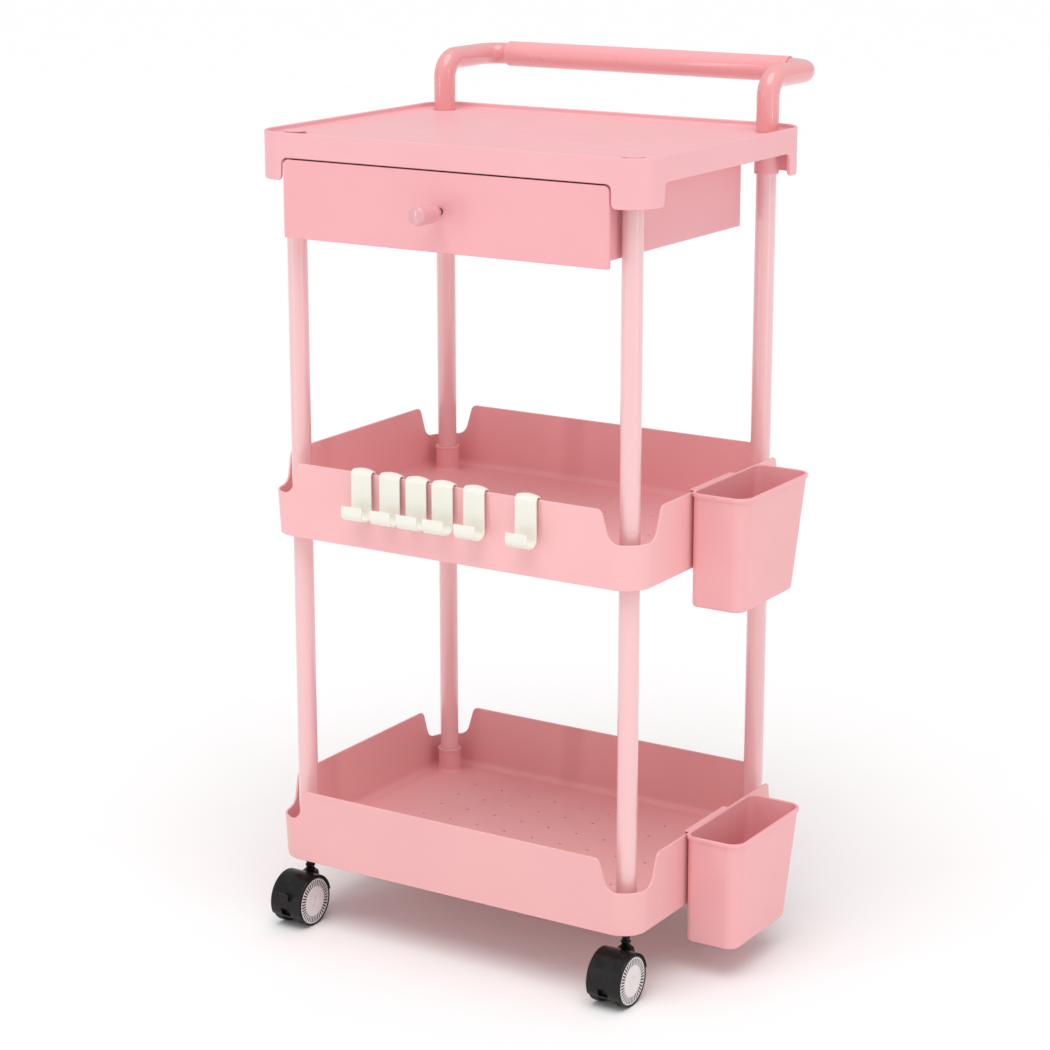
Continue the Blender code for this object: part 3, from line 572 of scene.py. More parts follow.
def notch_outline(reach):
    """One side of a notch, as (station, depth): a rounded foot, a steep slope and a rounded shoulder."""
    slope = math.radians(NOTCH_SLOPE)
    bends = (NOTCH_FOOT_RADIUS + NOTCH_SHOULDER_RADIUS) * (1 - math.cos(slope))
    run = (NOTCH_FOOT_RADIUS + NOTCH_SHOULDER_RADIUS) * math.sin(slope)
    run += (NOTCH_DEPTH - bends) / math.tan(slope)
    start = reach - run
    points = [(0.0, NOTCH_DEPTH)]
    for along, up in arc((start, NOTCH_FOOT_RADIUS), NOTCH_FOOT_RADIUS, -90, NOTCH_SLOPE - 90, 10):
        points.append((along, NOTCH_DEPTH - up))
    for along, up in arc((reach, -NOTCH_SHOULDER_RADIUS), NOTCH_SHOULDER_RADIUS, 90 + NOTCH_SLOPE, 90, 8):
        points.append((along, -up))
    return points


def notch_depth(station):
    """How far the rim drops at a distance from a corner's middle."""
    points = notch_outline(NOTCH_REACH_SIDE if station > 0 else NOTCH_REACH_FRONT)
    along = abs(station)
    for (before, high), (after, low) in zip(points, points[1:]):
        if along <= after:
            return high + (low - high) * (along - before) / (after - before)
    return 0.0


def basket_stations():
    """Stations of a basket tray, close together over its corners and its notches."""
    stations = arc_stations(ARC_HALF, 9)
    for sign, reach in ((-1, NOTCH_REACH_FRONT), (1, NOTCH_REACH_SIDE)):
        stations |= {sign * along for along, _ in notch_outline(reach)}
        stations.add(sign * (reach + 0.006))
    ordered = sorted(stations)
    spaced = [ordered[0]]
    for station in ordered[1:]:
        if station - spaced[-1] > 0.0004:
            spaced.append(station)
    return spaced


def basket_socket(edge):
    """Collar on a tray's floor, with a lip round its mouth and a flared foot."""
    floor = edge + FLOOR_RISE
    high = edge + SOCKET_RISE
    profile = [(SOCKET_RADIUS + 0.0022, floor - 0.0012), (SOCKET_RADIUS + 0.0020, floor + 0.0002)]
    profile += [(SOCKET_RADIUS + 0.0007, floor + 0.0016), (SOCKET_RADIUS, floor + 0.0034)]
    profile += [(SOCKET_RADIUS, high - 0.0030), (SOCKET_RADIUS + 0.0007, high - 0.0024)]
    profile += [(SOCKET_RADIUS + 0.0007, high - 0.0006), (SOCKET_RADIUS + 0.0002, high)]
    return turned(profile)


def drain_holes(floor):
    """A grid of small drain holes, clear of the collars."""
    holes = []
    for column in range(-4, 5):
        for row in range(-3, 4):
            hole = bore(DRAIN_RADIUS, floor - 0.01, floor + 0.01, 12)
            holes.append(moved(hole, (column * DRAIN_PITCH, row * DRAIN_PITCH, 0.0)))
    return combined(holes)


def make_basket_tray(name, edge, boss_low, boss_radius, lower_bore):
    """Deep tray with a notch at each corner, a collar for each post and a drained floor."""
    floor = edge + FLOOR_RISE
    rim = edge + TRAY_HEIGHT
    size = (MIDDLE_HIGH.x - MIDDLE_LOW.x, MIDDLE_HIGH.y - MIDDLE_LOW.y)
    bm = shell(size, CORNER_RADIUS, basket_stations(), lambda station: edge,
               lambda station: rim - notch_depth(station), floor, FLOOR_THICKNESS, TRAY_WALL,
               TRAY_TAPER, FLOOR_FILLET, TRAY_ROUNDING)
    tray = mesh_object(f"look_{name}", bm)
    under = floor - FLOOR_THICKNESS
    along = [block((-0.204, y - RIB_HALF_WIDTH, under - 0.004), (0.204, y + RIB_HALF_WIDTH, under + 0.0005))
             for y in (-RIB_SPACING, RIB_SPACING)]
    across = [block((x - RIB_HALF_WIDTH, -0.150, under - 0.005), (x + RIB_HALF_WIDTH, 0.150, under + 0.0006))
              for x in (-RIB_SPACING, 0.0, RIB_SPACING)]
    boss = [(boss_radius - 0.0006, boss_low), (boss_radius, boss_low + 0.0008), (boss_radius, floor - 0.001)]
    carve(tray, [
        ("UNION", at_posts(lambda: basket_socket(edge))),
        ("UNION", at_posts(lambda: turned(boss))),
        ("UNION", combined(along)),
        ("UNION", combined(across)),
        ("DIFFERENCE", at_posts(lambda: bore(BORE_RADIUS, floor, rim))),
        ("DIFFERENCE", at_posts(lambda: bore(lower_bore, boss_low - 0.01, under))),
        ("DIFFERENCE", drain_holes(floor)),
    ])
    finish_piece(tray, name.split("_")[0], "frame", [name])


# ---- posts, caps and handle ------------------------------------------
def make_posts():
    """Eight round tubes with broken edges."""
    for place in PLACES:
        for level in ("lower", "upper"):
            node = f"post_{level}_{place}"
            low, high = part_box(node)
            inside = POST_RADIUS - POST_WALL
            profile = [(inside, low.z), (POST_RADIUS - 0.0003, low.z), (POST_RADIUS, low.z + 0.0004)]
            profile += [(POST_RADIUS, high.z - 0.0004), (POST_RADIUS - 0.0003, high.z), (inside, high.z)]
            post = mesh_object(f"look_{node}", turned(profile, 64, closed=True))
            finish_piece(post, "tube", "frame", [node], (*POSTS[place], 0.0))


def make_post_caps():
    """Slightly domed buttons over the front posts, undercut below their flange."""
    for place in ("fl", "fr"):
        low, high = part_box(f"post_cap_{place}")
        radius = (high.x - low.x) / 2
        profile = [(radius - 0.0003, low.z), (radius, low.z + 0.0003), (radius, high.z - 0.0024)]
        profile += [(radius - 0.0028, high.z - 0.0023), (radius - 0.0028, high.z - 0.0009)]
        profile += [(radius, high.z - 0.0008), (radius, high.z - 0.0005)]
        profile += arc((radius - 0.0004, high.z - 0.0005), 0.0004, 0, 80, 4)
        profile += [(radius - 0.0040, high.z - 0.00005), (0.0010, high.z)]
        cap = mesh_object(f"look_post_cap_{place}", turned(profile))
        finish_piece(cap, "tabletop", "frame", [f"post_cap_{place}"], (*POSTS[place], 0.0))


def make_handle():
    """One bent tube over both rear posts, with a sleeve on its crossbar."""
    radius = (HANDLE_HIGH.x - HANDLE_LOW.x) / 2 - POSTS["rr"][0]
    top = HANDLE_HIGH.z - radius
    back = HANDLE_HIGH.y - radius
    post_x, post_y = POSTS["rr"]
    base = HANDLE_LOW.z
    corners = [(-post_x, post_y, base), (-post_x, post_y, top), (-post_x, back, top),
               (post_x, back, top), (post_x, post_y, top), (post_x, post_y, base)]
    path = rounded_path(corners, 0.020, 14)
    path.insert(1, path[0] + Vector((0.0, 0.0, 0.0008)))
    path.insert(-1, path[-1] + Vector((0.0, 0.0, 0.0008)))
    radii = [radius - 0.0005] + [radius] * (len(path) - 2) + [radius - 0.0005]
    outer = swept(path, radii, 40)
    inner = swept(path, [radius - 0.0008] * len(path), 40)
    tube = mesh_object("look_handle_tube", loft(outer + inner[::-1], closed=True))
    finish_piece(tube, "handle", "frame", ["handle_tube"])

    half = (GRIP_HIGH.x - GRIP_LOW.x) / 2
    sleeve = (GRIP_HIGH.y - GRIP_LOW.y) / 2
    inside = radius + 0.0002
    soft = 0.0008
    profile = [(inside, -half), (sleeve - soft, -half)]
    profile += arc((sleeve - soft, soft - half), soft, -60, 0, 3)
    for centre in (-half + 0.006, half - 0.006):
        profile += [(sleeve, centre - 0.0009), (sleeve - 0.0004, centre - 0.0005)]
        profile += [(sleeve - 0.0004, centre + 0.0005), (sleeve, centre + 0.0009)]
    profile += arc((sleeve - soft, half - soft), soft, 0, 60, 3)
    profile += [(sleeve - soft, half), (inside, half)]
    grip = mesh_object("look_handle_grip", turned(profile, 56, closed=True, axis="X"))
    finish_piece(grip, "grip", "frame", ["handle_grip"], (0.0, back, top))


# ---- drawer ----------------------------------------------------------
def rounded_panel(half, low, high, low_radius, high_radius, inset, y):
    """One upright ring of a panel with rounded corners, pulled in by an inset."""
    ring = []
    corners = ((half, low, low_radius, -90), (half, high, high_radius, 0),
               (-half, high, high_radius, 90), (-half, low, low_radius, 180))
    for x, z, radius, first in corners:
        turn = max(radius - inset, 0.0001)
        centre_x = math.copysign(half - inset - turn, x)
        centre_z = low + inset + turn if z == low else high - inset - turn
        for across, up in arc((centre_x, centre_z), turn, first, first + 90, 6):
            ring.append((across, y, up))
    return ring


def make_drawer_front():
    """Flat front panel with softened edges and a shallow turned-back rim behind."""
    half = (FRONT_HIGH.x - FRONT_LOW.x) / 2
    face, back = FRONT_LOW.y, FRONT_HIGH.y
    rings = [rounded_panel(half, FRONT_LOW.z, FRONT_HIGH.z, 0.0015, 0.006, inset, y)
             for inset, y in [(0.0004, back), (0.0, back - 0.0004)]
             + [(0.0009 - across, face + 0.0009 - up) for across, up in arc((0, 0), 0.0009, 0, 90, 5)]]
    panel = mesh_object("look_drawer_front", loft(rings))
    finish_piece(panel, "drawer", "drawer", ["drawer_front"])


def make_drawer_box():
    """Open box with rounded inner corners, closed in front by the panel."""
    size = (BOX_HIGH.x - BOX_LOW.x, BOX_HIGH.y - BOX_LOW.y + 0.006)
    height = BOX_HIGH.z - BOX_LOW.z
    bm = shell(size, 0.005, sorted(arc_stations(0.005 * math.pi / 4, 4)), lambda station: 0.0,
               lambda station: height, SHEET + 0.0002, SHEET, SHEET, 0.0, 0.0030, 0.0006)
    centre = ((BOX_HIGH.x + BOX_LOW.x) / 2, BOX_HIGH.y - size[1] / 2, BOX_LOW.z)
    box = mesh_object("look_drawer_box", moved(bm, centre))
    carve(box, [("DIFFERENCE", block((-0.3, -0.3, 0.0), (0.3, BOX_LOW.y, 1.0)))])
    finish_piece(box, "drawer", "drawer", ["drawer_box"])


def softened_copy(node, width):
    """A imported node's own shape, with its triangles merged into faces and its edges broken."""
    bm = bmesh.new()
    bm.from_mesh(bpy.data.objects[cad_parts[node].name].data)
    bmesh.ops.remove_doubles(bm, verts=bm.verts, dist=1e-6)
    bmesh.ops.dissolve_limit(bm, angle_limit=0.01, verts=bm.verts, edges=bm.edges)
    moved(bm, -CENTRE)
    item = mesh_object(f"look_{node}", bm)
    bevel = item.modifiers.new("soften", "BEVEL")
    bevel.width = width
    bevel.segments = 2
    bevel.limit_method = "ANGLE"
    bevel.angle_limit = math.radians(40)
    apply_modifiers(item)
    return item


def make_housing():
    """The drawer's sleeve, with softened edges."""
    finish_piece(softened_copy("drawer_housing", 0.0005), "drawer", "frame", ["drawer_housing"])


def laid_forward(bm):
    """Lay a piece that was turned about +Z along -Y."""
    bmesh.ops.rotate(bm, verts=bm.verts, matrix=Matrix.Rotation(math.pi / 2, 3, "X"))
    return bm


def make_knob():
    """Peg knob with a straight cone down to a thin neck, and its screw with a cross recess."""
    radius = (KNOB_HIGH.x - KNOB_LOW.x) / 2
    length = KNOB_HIGH.y - KNOB_LOW.y
    at = (0.0, KNOB_HIGH.y, (KNOB_HIGH.z + KNOB_LOW.z) / 2)
    neck = 0.0022
    profile = [(0.0033, neck), (0.0036, neck + 0.0004)]
    profile += [(radius - 0.0012, 0.0126), (radius - 0.0003, 0.0140), (radius, 0.0160)]
    profile += [(radius, length - 0.0042)] + arc((radius - 0.0036, length - 0.0040), 0.0036, 8, 80, 7)
    profile += [(0.0012, length)]
    knob = mesh_object("look_drawer_knob", laid_forward(turned(profile)))
    finish_piece(knob, "knob", "drawer", ["drawer_knob"], at)

    dark = [(0.0021, 0.0), (0.0033, 0.0001), (0.0033, neck - 0.0003), (0.0031, neck - 0.0001),
            (0.0021, neck - 0.0001)]
    sleeve = mesh_object("look_knob_sleeve", laid_forward(turned(dark, closed=True)))
    finish_piece(sleeve, "stem", "drawer", [], at)

    head_low = SCREW_HIGH.y - 0.0024
    screw = mesh_object("look_knob_screw", turned([
        (0.0020, -0.0150), (0.0020, 0.0), (0.0038, 0.0), (0.0040, 0.0003), (0.0039, 0.0011),
        (0.0032, 0.0019), (0.0018, 0.0023), (0.0006, 0.0024)], 40))
    carve(screw, [("DIFFERENCE", block((-x, -y, 0.0012), (x, y, 0.0040)))
                  for x, y in ((0.0023, 0.0004), (0.0004, 0.0023))])
    screw.data.transform(Matrix.Rotation(-math.pi / 2, 4, "X"))
    finish_piece(screw, "steel", "drawer", ["knob_screw"], (0.0, head_low, at[2]))


# ---- bins and hooks --------------------------------------------------
BIN_HEIGHT = 0.1165
BIN_WIDTH = 0.060
BIN_LENGTH = 0.138
BIN_FOOT_WIDTH = 0.0505
BIN_FOOT_LENGTH = 0.114
BIN_FOOT_LEAN = -0.0055
BIN_LIP = 0.0014
BIN_WALL = 0.0020
BIN_FLANGE = 0.0016

HOOK_WIDTH = 0.024
HOOK_THICKNESS = 0.0018
HOOK_STANDOFF = 0.0030      # from the tray's wall to the strap
HOOK_CROWN = 0.0035         # how far the tab's middle bows away from the wall
HOOK_DOME = 0.0018          # how far the arch's middle rises
HOOK_BEND = 0.007


def bin_ring(lean, width, length, inner_radius, outer_radius, inset, height):
    """A rounded rectangle whose trolley side lies on the plane x = lean."""
    ring = []
    half = length / 2
    corners = ((width, -half, outer_radius, -90), (width, half, outer_radius, 0),
               (0.0, half, inner_radius, 90), (0.0, -half, inner_radius, 180))
    for x, y, radius, first in corners:
        turn = max(radius - inset, 0.0004)
        centre_x = width - inset - turn if x else lean + inset + turn
        centre_y = math.copysign(half - inset - turn, y)
        for across, along in arc((centre_x, centre_y), turn, first, first + 90, 9):
            ring.append((across, along, height))
    return ring


def make_bin(node, body):
    """Tapered bin with a rolled lip and softened foot, hung by a flange on the tray's side wall."""
    low, high = (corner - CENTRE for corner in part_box(node))
    inner_x = high.x - BIN_LIP - BIN_WIDTH
    centre_y = (low.y + high.y) / 2
    neck = BIN_HEIGHT - 0.0042

    def body_ring(level, inset):
        share = level / BIN_HEIGHT
        across = BIN_FOOT_WIDTH + (BIN_WIDTH - BIN_FOOT_WIDTH) * share
        along = BIN_FOOT_LENGTH + (BIN_LENGTH - BIN_FOOT_LENGTH) * share
        return bin_ring(BIN_FOOT_LEAN * (1 - share), across, along, 0.008 + 0.002 * share,
                        0.012 + 0.003 * share, inset, level)

    steps = [(0.0, 0.0034), (0.0004, 0.0018), (0.0014, 0.0006), (0.0030, 0.0)]
    steps += [(neck * share, 0.0) for share in (0.35, 0.7, 1.0)]
    steps += [(neck + 0.0003, -BIN_LIP + 0.0002), (neck + 0.0009, -BIN_LIP)]
    steps += [(BIN_HEIGHT - 0.0008, -BIN_LIP), (BIN_HEIGHT - 0.0002, -BIN_LIP + 0.0004)]
    steps += [(BIN_HEIGHT, -BIN_LIP + 0.001), (BIN_HEIGHT, 0.0014)]
    steps += [(BIN_HEIGHT - 0.0003, 0.0019), (BIN_HEIGHT - 0.0010, BIN_WALL)]
    steps += [(BIN_HEIGHT * share, BIN_WALL) for share in (0.7, 0.35)]
    steps += [(up, across) for across, up in arc((0.0062, 0.0062), 0.0042, 180, 270, 5)]
    item = mesh_object(f"look_{node}", loft([body_ring(level, inset) for level, inset in steps]))
    thick = BIN_FLANGE
    leg = MIDDLE_HIGH.x - TRAY_WALL - thick - inner_x
    top = BIN_HEIGHT - thick + CLEAR
    start, end = -0.055 - centre_y, 0.026 - centre_y
    flange_rings = []
    for y, pinch in ((start, 0.0006), (start + 0.0008, 0.0), (end - 0.0008, 0.0), (end, 0.0006)):
        outside = [(leg - thick + pinch, top - 0.012 + pinch)]
        outside += arc((leg - 0.0004, top + 0.0004), 0.0012 - pinch, 180, 90, 4)
        inside = [(0.0010, top + thick - pinch), (0.0010, top + pinch), (leg - pinch, top + pinch * 0.5)]
        inside += [(leg - pinch, top - 0.012 + pinch)]
        flange_rings.append([(x, y, z) for x, z in outside + inside])
    carve(item, [("UNION", loft(flange_rings))])
    finish_piece(item, "bin", body, [node], (inner_x, centre_y, high.z + CENTRE.z - top - thick))


def hook_path():
    """The hook's middle line from its tab, over the wall, to its lip, as (y, z, share of the crown)."""
    half = HOOK_THICKNESS / 2
    strap = -HOOK_STANDOFF - half
    tab = TRAY_WALL + 0.0010 + half
    crest = (tab - strap) / 2
    middle_y = (tab + strap) / 2
    spring = CLEAR + 0.0003 - math.sqrt((crest - half) ** 2 - (TRAY_WALL - middle_y) ** 2)
    foot = CLEAR + HOOK_THICKNESS - 0.0475 + half
    lip = strap - 0.0172
    bend = HOOK_BEND
    path = [(tab, CLEAR - 0.009, 1.0), (tab, CLEAR - 0.0045, 1.0)]
    path += [(y, z, (y - strap) / (tab - strap)) for y, z in arc((middle_y, spring), crest, 0, 180, 12)]
    path += [(y, z, 0.0) for y, z in arc((strap - bend, foot + bend), bend, 0, -90, 8)]
    path += [(y, z, 0.0) for y, z in arc((lip + bend, foot + bend), bend, -90, -180, 8)]
    path += [(lip, foot + 0.0145, 0.0)]
    return path


def make_hook_mesh():
    """One bent strap hook with rounded edges and a tab that bows back over the wall."""
    across = (-1.0, -0.96, -0.72, -0.4, 0.0, 0.4, 0.72, 0.96, 1.0)
    return shaded("look_hook_1", strip(hook_path(), across, HOOK_WIDTH, HOOK_THICKNESS, 0.45, HOOK_CROWN,
                                       HOOK_DOME))


def make_hooks():
    """Six hooks over the middle tray's front wall, all from one mesh."""
    first = make_hook_mesh()
    for number in range(1, 7):
        item = copy_of(first, f"look_hook_{number}")
        at = middle(f"hook_{number}") - CENTRE
        finish_piece(item, "hook", f"strap_hook_{number}", [f"hook_{number}"],
                     (at.x, MIDDLE_LOW.y, MIDDLE_HIGH.z), angle=None)


# ---- casters ---------------------------------------------------------
WHEEL_RADIUS = 0.026
WHEEL_INNER = 0.0088
WHEEL_WIDTH = 0.0097
WHEEL_FACE = WHEEL_INNER + WHEEL_WIDTH
TRAIL = 0.0175                        # from the stem forward to the axle
HUB_RADIUS = 0.0241
HOOD_RADIUS = 0.0279
HOOD_WELL = 0.0267                    # the hood's inside, over the wheels
HOOD_BOSS_TOP = 0.0512
HOOD_FIRST, HOOD_LAST = 206.0, 10.0   # the hood's arc, seen from +X: from low in front, over, to the back
HOOD_FOOT = -0.0135                   # below the axle
AXLE_BORE = 0.0033
HUB_SLOTS = 40
SLOT_INNER = 0.0160
SLOT_OUTER = 0.0222
STEM_RADIUS = 0.0040
BRAKE_STANDOFF = 0.0018               # the brake's hinge, in front of the hood
BRAKE_RISE = 0.0060                   # and above the axle
BRAKE_WIDTH = 0.0120
BRAKE_THICKNESS = 0.0022


def hood_shell():
    """Curved cover over both wheels, with rounded shoulders and a thin rim."""
    rings = []
    steps = 40
    for index in range(steps + 1):
        share = index / steps
        angle = math.radians(HOOD_FIRST + (HOOD_LAST - HOOD_FIRST) * share)
        pinch = 0.0004 if index in (0, steps) else 0.0
        outer = HOOD_RADIUS - pinch
        section = [(-WHEEL_FACE, HOOD_WELL + 0.0001), (-WHEEL_FACE, outer - 0.0006)]
        section += [(-WHEEL_FACE + 0.0014 + 0.0014 * math.cos(math.radians(turn)),
                     outer - 0.0006 + 0.0006 * math.sin(math.radians(turn))) for turn in (150, 120, 90)]
        section += [(-x, radius) for x, radius in reversed(section)]
        rings.append([(x, radius * math.cos(angle), radius * math.sin(angle)) for x, radius in section])
    return loft(rings)


def make_hood_mesh():
    """Hood, middle web, stem boss and foot of a twin-wheel caster, as one shape about its axle."""
    item = mesh_object("look_caster_fl_hood", hood_shell())
    web = WHEEL_INNER - 0.0006
    far = 0.04
    disc = [(0.0006, -web), (HOOD_WELL + 0.0006, -web), (HOOD_WELL + 0.0006, web), (0.0006, web)]
    top = HOOD_BOSS_TOP - WHEEL_RADIUS
    boss = [(0.0086, 0.006), (0.0092, top - 0.0060), (0.0086, top - 0.0016)]
    boss += [(0.0078, top - 0.0003), (0.0070, top)]
    carve(item, [
        ("UNION", turned(disc, 64, axis="X")),
        ("UNION", moved(turned(boss, 40), (0.0, TRAIL, 0.0))),
        ("DIFFERENCE", block((-far, -far, -far), (far, far, HOOD_FOOT))),
        ("DIFFERENCE", block((-far, 0.0, -far), (far, far, 0.0))),
        ("DIFFERENCE", bore(AXLE_BORE, -0.03, 0.03, 24, "X")),
        ("DIFFERENCE", block((-0.0055, -0.0300, -0.0112), (0.0055, -0.0215, -0.0030))),
        ("DIFFERENCE", moved(bore(STEM_RADIUS + CLEAR, 0.0152, 0.06, 24), (0.0, TRAIL, 0.0))),
    ])
    shade(item)
    return item


def make_wheel_mesh():
    """One wheel about X, with a rounded tread, two fine grooves and a recess for its hub."""
    face = WHEEL_WIDTH
    recess = face - 0.0024
    profile = [(AXLE_BORE, 0.0), (0.0200, 0.0), (0.0215, 0.0008), (0.0240, 0.0008), (0.0248, 0.0)]
    profile += arc((WHEEL_RADIUS - 0.0012, 0.0012), 0.0012, -90, 0, 4)
    for centre in (0.0036, 0.0064):
        profile += [(WHEEL_RADIUS, centre - 0.00035), (WHEEL_RADIUS - 0.0004, centre - 0.0001)]
        profile += [(WHEEL_RADIUS - 0.0004, centre + 0.0001), (WHEEL_RADIUS, centre + 0.00035)]
    profile += arc((WHEEL_RADIUS - 0.0010, face - 0.0010), 0.0010, 0, 90, 4)
    profile += [(HUB_RADIUS + 0.0003, face), (HUB_RADIUS + 0.0003, recess), (AXLE_BORE, recess)]
    return shaded("look_wheel_fl_right", turned(profile, 72, closed=True, axis="X"))


def make_hub_mesh():
    """Dished hub disc with a ring of narrow radial slots, about X."""
    per_slot = 6
    count = HUB_SLOTS * per_slot
    base = WHEEL_WIDTH - 0.0021
    face = WHEEL_WIDTH - 0.0004
    levels = [(0.0006, face - 0.0002, 0), (0.0040, face - 0.0002, 0), (0.0046, face - 0.0007, 0),
              (0.0060, face - 0.0007, 0), (0.0066, face, 0), (0.0150, face + 0.0002, 0),
              (0.0156, face + 0.0002, 0), (SLOT_INNER, face + 0.0002, 1), (SLOT_OUTER, face, 1),
              (0.0226, face, 0), (0.0234, face - 0.0001, 0), (HUB_RADIUS - 0.0002, face - 0.0005, 0),
              (HUB_RADIUS, face - 0.0009, 0), (HUB_RADIUS, base, 0)]
    rings = []
    for radius, height, slotted in levels:
        ring = []
        for index in range(count):
            angle = math.tau * index / count
            sunk = 0.0009 if slotted and index % per_slot in (1, 2, 3) else 0.0
            ring.append((height - sunk, radius * math.cos(angle), radius * math.sin(angle)))
        rings.append(ring)
    return shaded("look_hub_fl_right", loft(rings), 25.0)


def make_slots_mesh():
    """Dark floors of the hub's slots, about X."""
    half = 0.00065
    bars = []
    for index in range(HUB_SLOTS):
        bar = block((WHEEL_WIDTH - 0.0015, -half, SLOT_INNER), (WHEEL_WIDTH - 0.0005, half, SLOT_OUTER))
        turn = math.tau * (index + 1 / 3) / HUB_SLOTS
        bar.transform(Matrix.Rotation(turn + math.pi / 2, 4, "X"))
        bars.append(bar)
    return shaded("look_slots_fl_right", combined(bars), 25.0)


def make_stem_mesh():
    """Ribbed black stem from the hood up into the tray's boss."""
    low = HOOD_BOSS_TOP - 0.0100
    high = BOTTOM_EDGE + FLOOR_RISE - FLOOR_THICKNESS - CLEAR
    radius = STEM_RADIUS
    profile = [(0.0036, low), (radius, low + 0.0005), (radius, HOOD_BOSS_TOP + 0.0004)]
    for centre in (HOOD_BOSS_TOP + 0.0018, HOOD_BOSS_TOP + 0.0062):
        profile += [(radius, centre - 0.0010), (0.0050, centre - 0.0007), (0.0052, centre)]
        profile += [(0.0050, centre + 0.0007), (radius, centre + 0.0010)]
    nut = BOTTOM_EDGE - 0.0072
    profile += [(radius, nut - 0.0010), (0.0058, nut - 0.0006), (0.0060, nut), (0.0060, nut + 0.0022)]
    profile += [(0.0058, nut + 0.0028), (radius, nut + 0.0032), (radius, high - 0.0005), (0.0036, high)]
    return shaded("look_caster_fl_stem", turned(profile, 40))


def make_brake_mesh():
    """Curved foot lever with rounded edges, about its hinge line."""
    line = [(0.0, 0.0), (0.0, 0.0030), (0.0, 0.0062)]
    line += arc((-0.0040, 0.0070), 0.0040, 0, 60, 5) + [(-0.0050, 0.0117)]
    path = [(y, z, 0.0) for y, z in line]
    across = (-1.0, -0.9, 0.0, 0.9, 1.0)
    return shaded("look_caster_fl_brake", strip(path, across, BRAKE_WIDTH, BRAKE_THICKNESS, 0.5))


def make_casters():
    """Four casters from shared meshes; the left wheels are the right ones turned round."""
    hood, wheel, hub = make_hood_mesh(), make_wheel_mesh(), make_hub_mesh()
    slots, stem, brake = make_slots_mesh(), make_stem_mesh(), make_brake_mesh()
    for place in PLACES:
        x, y = POSTS[place]
        swivel = f"caster_{place}"
        axle = (x, y - TRAIL, WHEEL_RADIUS)
        finish_piece(copy_of(stem, f"look_{swivel}_stem"), "stem", "frame", [f"{swivel}_stem"],
                     (x, y, 0.0), angle=None)
        finish_piece(copy_of(hood, f"look_{swivel}_hood"), "black", swivel, [f"{swivel}_hood"],
                     axle, angle=None)
        for side, turn in (("right", 0.0), ("left", math.pi)):
            at = (x + WHEEL_INNER * math.cos(turn), axle[1], axle[2])
            for shape, kind, finish, slot in ((wheel, "wheel", "tread", "wheel_black"),
                                              (hub, "hub", "hub", "hub_white"),
                                              (slots, "slots", "black", "wheel_black")):
                node = f"{kind}_{place}_{side}"
                item = copy_of(shape, f"look_{node}")
                item.rotation_euler = (0.0, 0.0, turn)
                nodes = [node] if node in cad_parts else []
                finish_piece(item, finish, f"roller_{place}_{side}", nodes, at, angle=None)
        node = f"{swivel}_brake"
        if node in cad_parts:
            pivot = (x, axle[1] - HOOD_RADIUS - BRAKE_STANDOFF, WHEEL_RADIUS + BRAKE_RISE)
            finish_piece(copy_of(brake, f"look_{node}"), "black", f"brake_{place}", [node],
                         pivot, angle=None)
        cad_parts[f"{swivel}_axle"].material_slots[0].material = MATERIALS["steel"]


# ---- floor, light and camera -----------------------------------------
def make_floor():
    """A wide pale floor."""
    bm = bmesh.new()
    bmesh.ops.create_grid(bm, x_segments=8, y_segments=8, size=30.0)
    floor = mesh_object("floor", bm)
    paper = surface("floor_paper", (0.93, 0.93, 0.93), 0.004, (0.82, 0.92), (0.004, 0.00005))
    floor.data.materials.append(paper)


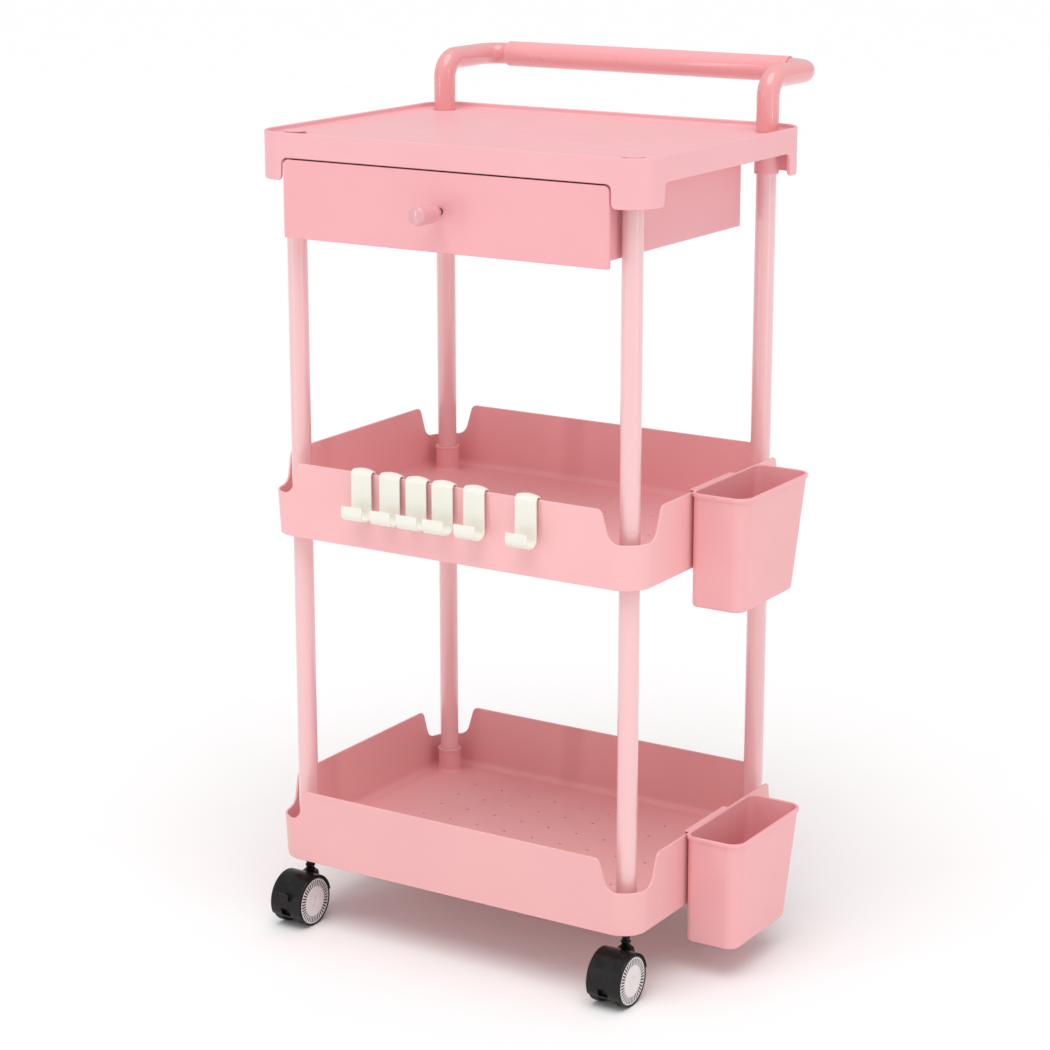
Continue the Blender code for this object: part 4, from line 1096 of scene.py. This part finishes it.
def strip_light(name, at, size, power):
    """A tall soft light aimed at the trolley's middle."""
    light = bpy.data.lights.new(name, "AREA")
    light.shape = "RECTANGLE"
    light.size, light.size_y = size
    light.energy = power
    item = bpy.data.objects.new(name, light)
    item.location = at
    item.rotation_euler = (Vector((0.0, 0.0, 0.5)) - Vector(at)).to_track_quat("-Z", "Y").to_euler()
    item.visible_camera = False
    bpy.context.scene.collection.objects.link(item)


def make_light():
    """A bright even surround, one very soft sun and two tall strip lights for the tubes."""
    world = bpy.data.worlds.new("studio")
    world.use_nodes = True
    background = world.node_tree.nodes["Background"]
    background.inputs["Color"].default_value = (1.0, 1.0, 1.0, 1.0)
    background.inputs["Strength"].default_value = 0.61
    bpy.context.scene.world = world
    sun = bpy.data.lights.new("soft_sun", "SUN")
    sun.energy = 1.62
    sun.angle = math.radians(50)
    item = bpy.data.objects.new("soft_sun", sun)
    item.rotation_euler = (math.radians(20), 0.0, math.radians(24))
    bpy.context.scene.collection.objects.link(item)
    strip_light("strip_left", (-1.3, -2.3, 0.9), (0.07, 2.0), 4.8)
    strip_light("strip_right", (2.6, -0.6, 0.9), (0.09, 2.0), 6.0)


def make_camera():
    """The camera at the trolley's front right, a little above its handle."""
    lens = bpy.data.cameras.new("camera")
    lens.lens = 94.78
    lens.sensor_width = 36.0
    camera = bpy.data.objects.new("camera", lens)
    camera.location = (1.40160, -2.32114, 1.13283)
    camera.rotation_euler = (math.radians(90 - 14.71), 0.0, math.radians(31.99))
    bpy.context.scene.collection.objects.link(camera)
    bpy.context.scene.camera = camera
    bpy.context.scene.view_settings.view_transform = "Standard"


def main():
    """Build every piece."""
    make_top_tray()
    make_basket_tray("middle_tray", MIDDLE_LOW.z, MIDDLE_LOW.z + 0.0010, SOCKET_RADIUS, BORE_RADIUS)
    make_basket_tray("bottom_tray", BOTTOM_EDGE, BOTTOM_LOW.z, 0.0090, 0.0043)
    make_posts()
    make_post_caps()
    make_handle()
    make_drawer_front()
    make_drawer_box()
    make_housing()
    make_knob()
    make_bin("cup_upper", "bin_upper")
    make_bin("cup_lower", "bin_lower")
    make_hooks()
    make_casters()
    make_floor()
    make_light()
    make_camera()


main()
